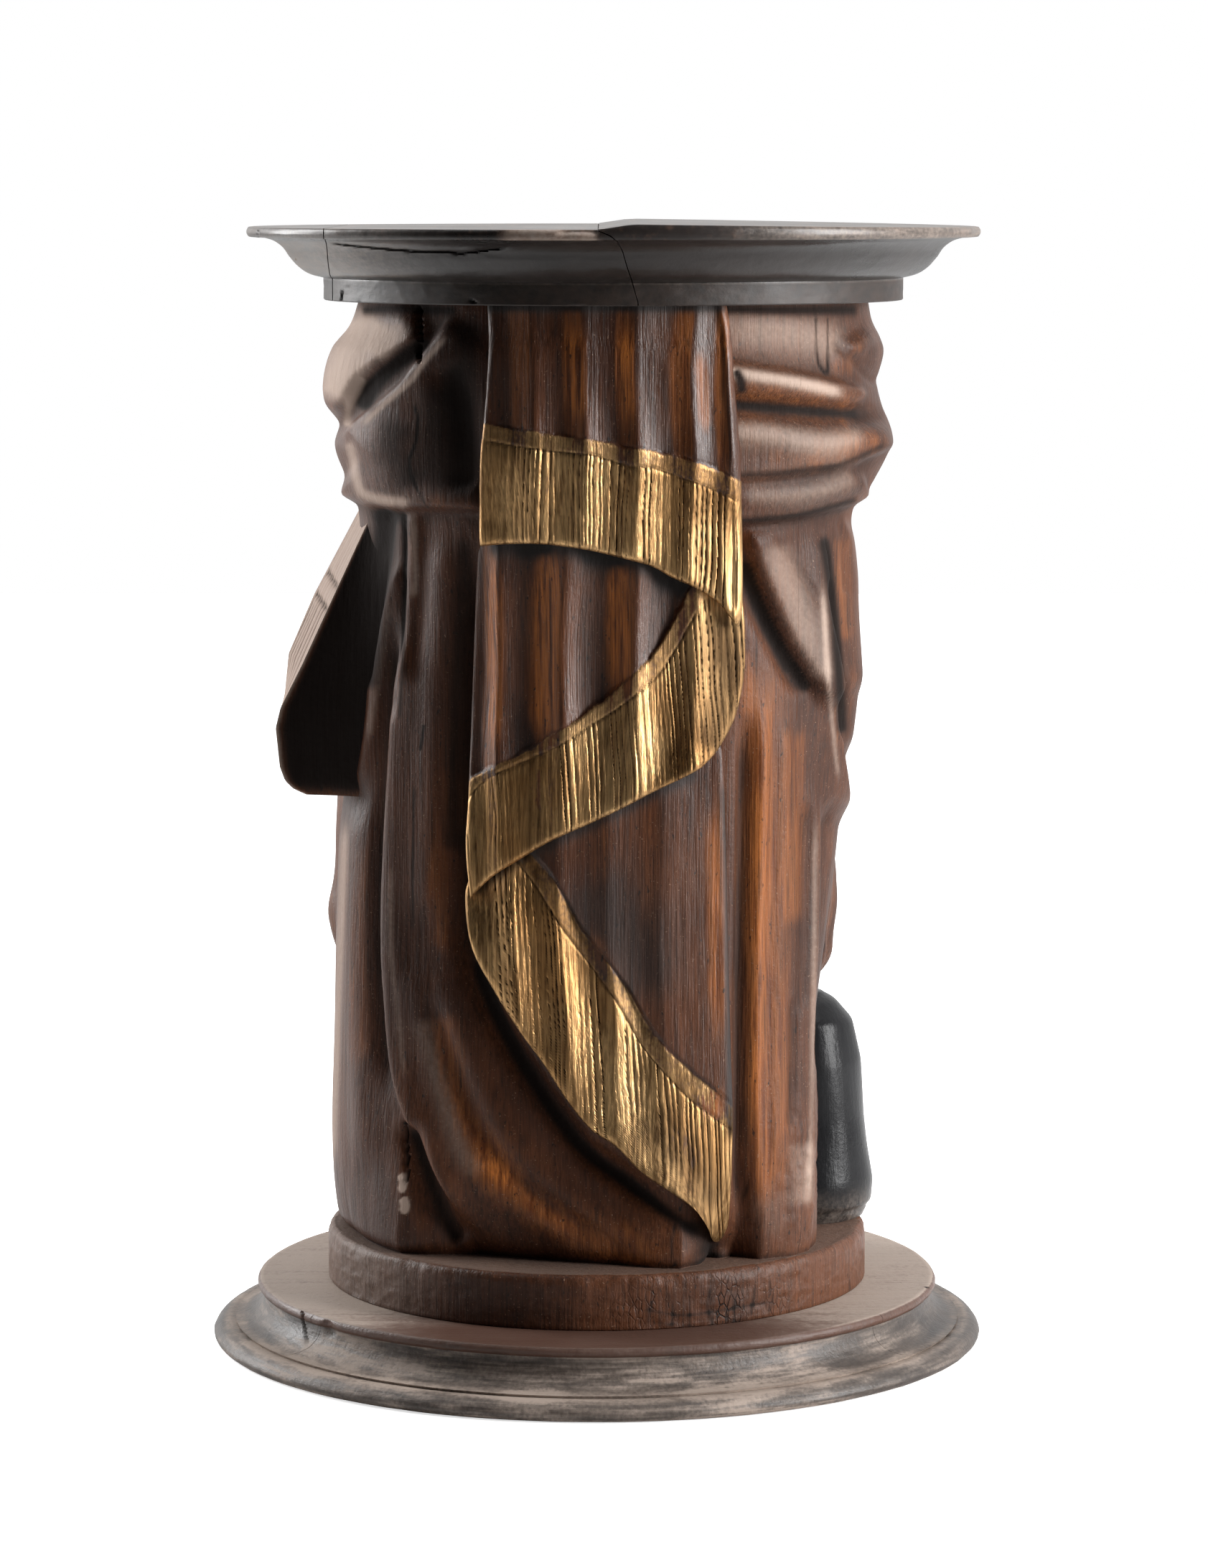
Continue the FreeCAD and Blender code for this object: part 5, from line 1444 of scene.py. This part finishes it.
def top_fields(x, y, z):
    u, v = to_picture(x, y, z)
    radius = np.hypot(x - LEAN, y)
    outside = radius > 180.0
    cracks = crack_field(u, v, TOP_CRACKS, 1.0) * (y < -20) * outside
    lip = ease(LIP_BOTTOM - 0.5, LIP_BOTTOM, z) * ease(234.0, 237.0, radius)
    worn_lip = lip * ease(680, 720, u) * ease(845, 820, u) * (y < 0)
    neck = ease(NECK_TOP, NECK_TOP - 1.5, z) * outside
    neck_rim = bell(z - NECK_TOP + 0.8, 1.0) * outside
    cyma = ease(NECK_TOP, NECK_TOP + 3.0, z) * ease(LIP_BOTTOM, LIP_BOTTOM - 3.0, z)
    left = ease(700, 430, u)
    surface = (z > STAND_TOP - 0.3) * (radius < 236.0)
    # Pale dust, with painted highlights on the lip at the right where the key light glints, on the left of
    # the lip and moulding where the studio is reflected, and on the top surface seen at a glancing angle
    dust_and_sheen = lip * (0.08 + 0.35 * ease(960, 1150, u) + 0.22 * left) + 0.55 * worn_lip
    dust_and_sheen += 0.10 * neck + 0.25 * neck_rim + 0.42 * cyma * left + 0.26 * surface
    return {
        "warm": np.clip(0.30 * lip + 0.60 * neck + 0.5 * worn_lip + 0.35 * surface, 0, 1),
        "dust_and_sheen": np.clip(dust_and_sheen, 0, 1),
        "shade_and_dark_tone": np.clip(0.70 * neck - cracks, 0, 1),
    }


def make_top():
    out_span = CYMA_TOP_RADIUS - NECK_RADIUS
    up_span = LIP_BOTTOM - NECK_TOP
    bends = [(NECK_RADIUS + out * out_span, NECK_TOP + up * up_span) for out, up in CYMA_SHARES]
    cyma = smooth_path(bends, 40)
    body = turned_body("top_body", top_profile(cyma), LEAN, top_wear, top_fields)
    left, rest = split_body(body, X_AXIS, (TOP_JOINT_LEFT,), TOP_GAP, ("top_left", "top_rest"))
    levels = [FIGURE_TOP, NECK_TOP - 0.5] + list(cyma[:, 1]) + [LIP_BOTTOM + 0.5, STAND_TOP]
    reaches = [NECK_RADIUS, NECK_RADIUS] + list(cyma[:, 0]) + [LIP_RADIUS, LIP_RADIUS]
    heights, places = joint_line(levels, reaches)
    slide(rest, heights, places, 1.0)
    middle, right = split_body(rest, X_AXIS, (0.0,), TOP_GAP, ("top_middle", "top_right"))
    slide(middle, heights, places, -1.0)
    slide(right, heights, places, -1.0)
    raise_cupped(right, places[-1])
    for piece, side in ((left, "left"), (middle, "middle"), (right, "right")):
        finish_piece(piece, "top_plank_" + side, TOP, sharp=40.0)


# Base: a disc layer of three planks on a foot layer of two boards

DISC_JOINTS = (-131.0, 120.0)
FOOT_JOINTS = (58.0,)
BASE_GAP = 0.2
BASE_CRACKS = (
    (((420, 1825), (424, 1850), (428, 1873)), 1.8, 2.0),
    (((300, 1832), (312, 1824), (324, 1816)), 1.6, 1.5),
    (((1287, 1792), (1295, 1794)), 1.6, 1.5),
)
NOSING_CHIPS = ((((452, 1838), (458, 1850), (466, 1862)), 6.0, 2.0),)


def base_wear(radius, height, degrees):
    worn = 0.4 * np.abs(rough(degrees / 6.0, height / 8.0, 71))
    dented = dents(radius, height, degrees, 0.0, BASE_CRACKS, NOSING_CHIPS)
    return radius + ease(170.0, 205.0, radius) * (dented - worn)


def patchy(across, up, seed):
    # Noise from 0 to 1 with flat tops
    return np.clip(0.5 + 0.9 * rough(across, up, seed), 0, 1)


def base_fields(x, y, z):
    u, v = to_picture(x, y, z)
    radius = np.maximum(np.hypot(x, y), 1.0)
    around = np.degrees(np.arctan2(x, -y))
    cracks = crack_field(u, v, BASE_CRACKS, 1.0) * (y < -20)
    # Parts of the profile, and of the way round
    upper = ease(DISC_TOP - 0.6, DISC_TOP, z)
    nosing = ease(DISC_TOP - 7.5, DISC_TOP - 6.0, z) * (1 - upper)
    scotia = ease(14.5, 17.0, z) * ease(33.0, 27.0, z)
    groove = bell(z - FOOT_HEIGHT - 0.8, 1.2)
    bottom = ease(3.0, 0.5, z)
    back = ease(0.2, 0.9, -y / radius)
    side = ease(0.95, 0.55, -y / radius)
    # Less film on the right, a painted shade against the key light there, and more on the side that faces the
    # camera
    shown = (0.55 + 0.55 * back) * (1.0 - 0.40 * ease(0.3, 0.9, x / radius))
    blotch = patchy(around / 9.0, z / 7.0, 81)
    scuff = patchy(around / 6.0, z / 1.4, 84)
    flat = patchy(x / 40.0, y / 7.0, 86)
    film = 0.22 + 0.26 * blotch + 0.42 * scuff * (0.3 + 0.7 * blotch)
    film *= (1 - upper) * (1 - 0.8 * nosing) * shown
    # The disc's top is paler at its sides with dust and painted sheen, and darker at its front with painted
    # shade
    dust_and_sheen = film + 0.45 * groove + 0.35 * bottom + upper * (0.02 + 0.86 * side + 0.10 * flat)
    return {
        "warm": np.clip(0.85 * upper + 0.75 * nosing + 0.5 * bottom + 0.35 * back * scotia * blotch, 0, 1),
        "dust_and_sheen": np.clip(dust_and_sheen, 0, 1),
        "shade_and_dark_tone": np.clip(0.30 * (upper + nosing) * (1 - side) - cracks, 0, 1),
    }


def base_layer(layer, profile, joints, board, sides):
    # One layer of the base, cut into its boards
    body = turned_body(layer + "_body", profile, 0.0, base_wear, base_fields)
    pieces = split_body(body, Y_AXIS, joints, BASE_GAP, [layer + "_" + side for side in sides])
    for piece, side in zip(pieces, sides):
        finish_piece(piece, "base_" + layer + "_" + board + "_" + side, BASE, sharp=40.0)


def make_base():
    rim = (240.6, FOOT_HEIGHT + 1.6)
    throat = (220.5, DISC_TOP - 6.4)
    hollow = (rim[0] - 0.78 * (rim[0] - throat[0]), rim[1] + 0.34 * (throat[1] - rim[1]))
    disc = [(radius, FOOT_HEIGHT + 0.1) for radius in (2.0, 200.0, 239.8)]
    disc += arc_through(rim, hollow, throat, 30)
    disc += arc_through((224.1, DISC_TOP - 6.4), (225.7, DISC_TOP - 3.2), (223.6, DISC_TOP), 12)
    flat = (221.0, 215.0, 205.0, 195.0, 185.0, 170.0, 140.0, 100.0, 50.0, 2.0)
    disc += [(radius, DISC_TOP) for radius in flat]
    base_layer("disc", disc, DISC_JOINTS, "plank", ("front", "middle", "back"))
    nose = (255.0, 5.2)
    foot = [(2.0, 0.0), (200.0, 0.0)]
    foot += arc_through((249.5, 0.0), (253.4, 1.6), nose, 8)
    foot += arc_through(nose, (251.2, 10.3), (242.0, FOOT_HEIGHT), 14)[1:]
    foot += [(radius, FOOT_HEIGHT) for radius in (238.0, 225.0, 2.0)]
    base_layer("foot", foot, FOOT_JOINTS, "board", ("front", "back"))


# Dowels, pins and screws are shown as they are in the solid model

DOWEL_NODES = ("top_joint_dowels", "top_fixing_dowels", "block_joint_dowels", "side_sash_pins", "boot_dowels",
               "base_disc_dowels")
SCREW_NODES = ("base_layer_screws", "figure_fixing_screws")


def make_fixings():
    for names, material in ((DOWEL_NODES, DOWEL), (SCREW_NODES, IRON)):
        for name in names:
            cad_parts[name].data.materials.clear()
            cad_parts[name].data.materials.append(material)


# Studio: camera, pale floor, soft light

WHITE = (1.0, 1.0, 1.0, 1.0)
SENSOR_HEIGHT = 36.0
FLOOR_REACH = 6.0


def make_camera():
    data = bpy.data.cameras.new("camera")
    data.sensor_fit = "VERTICAL"
    data.sensor_height = SENSOR_HEIGHT
    data.lens = SENSOR_HEIGHT * FOCAL / PICTURE_HEIGHT
    data.clip_start = 0.05
    data.clip_end = 50.0
    camera = bpy.data.objects.new("camera", data)
    camera.location = Vector(EYE) * MM
    camera.rotation_euler = (math.pi / 2 - PITCH, 0.0, 0.0)
    bpy.context.collection.objects.link(camera)
    bpy.context.scene.camera = camera


def area_light(name, place, width, height, power):
    # Soft light aimed at the middle of the stand
    data = bpy.data.lights.new(name, "AREA")
    data.shape = "RECTANGLE"
    data.size = width
    data.size_y = height
    data.energy = power
    light = bpy.data.objects.new(name, data)
    light.location = place
    light.rotation_euler = (Vector((0.0, 0.0, 0.40)) - Vector(place)).to_track_quat("-Z", "Y").to_euler()
    bpy.context.collection.objects.link(light)


def make_floor():
    # White to the camera, a little darker under the stand; it throws back less light at the near side
    material = bpy.data.materials.new("floor_white")
    r = Recipe(material)
    place = r.node("TexCoord").outputs["Object"]
    axes = r.node("SeparateXYZ")
    r.set(axes.inputs["Vector"], place)
    length = r.node("VectorMath")
    length.operation = "LENGTH"
    r.set(length.inputs[0], place)
    away = r.ramp(length.outputs["Value"], 0.26, 0.60, 0.62, 1.00, "LINEAR")
    glow = r.times(r.node("LightPath").outputs["Is Camera Ray"], away)
    r.set(r.shader.inputs["Base Color"], r.ramp(axes.outputs["Y"], -0.9, 0.0, 0.15, 0.85, "LINEAR"))
    r.set(r.shader.inputs["Roughness"], 0.9)
    r.set(r.shader.inputs["Emission Color"], WHITE)
    r.set(r.shader.inputs["Emission Strength"], glow)
    mesh = bpy.data.meshes.new("floor")
    corners = [(x * FLOOR_REACH, y * FLOOR_REACH, 0) for x, y in ((-1, -1), (1, -1), (1, 1), (-1, 1))]
    mesh.from_pydata(corners, [], [(0, 1, 2, 3)])
    floor = bpy.data.objects.new("floor", mesh)
    bpy.context.collection.objects.link(floor)
    mesh.materials.append(material)


def make_world():
    # White all round for the camera, and a white studio that is darker behind the camera
    world = bpy.data.worlds.new("studio")
    bpy.context.scene.world = world
    r = Recipe(world, "Background")
    axes = r.node("SeparateXYZ")
    r.set(axes.inputs["Vector"], r.node("TexCoord").outputs["Generated"])
    depth = r.ramp(axes.outputs["Y"], -0.45, 0.45, 0.02, 1.0)
    r.set(r.shader.inputs["Color"], WHITE)
    r.set(r.shader.inputs["Strength"], r.math("MAXIMUM", depth, r.node("LightPath").outputs["Is Camera Ray"]))


def make_studio():
    make_camera()
    make_floor()
    make_world()
    area_light("key_right", (2.36, -0.95, 1.05), 0.9, 2.0, 120.0)
    area_light("side_left", (-2.1, 1.00, 1.20), 0.9, 1.8, 58.0)
    area_light("top_soft", (0.3, 0.1, 2.8), 1.6, 1.6, 25.0)
    bpy.context.scene.view_settings.view_transform = "Standard"


make_base()
make_figure()
make_sash()
make_side_end()
make_limbs()
make_top()
make_fixings()
make_studio()
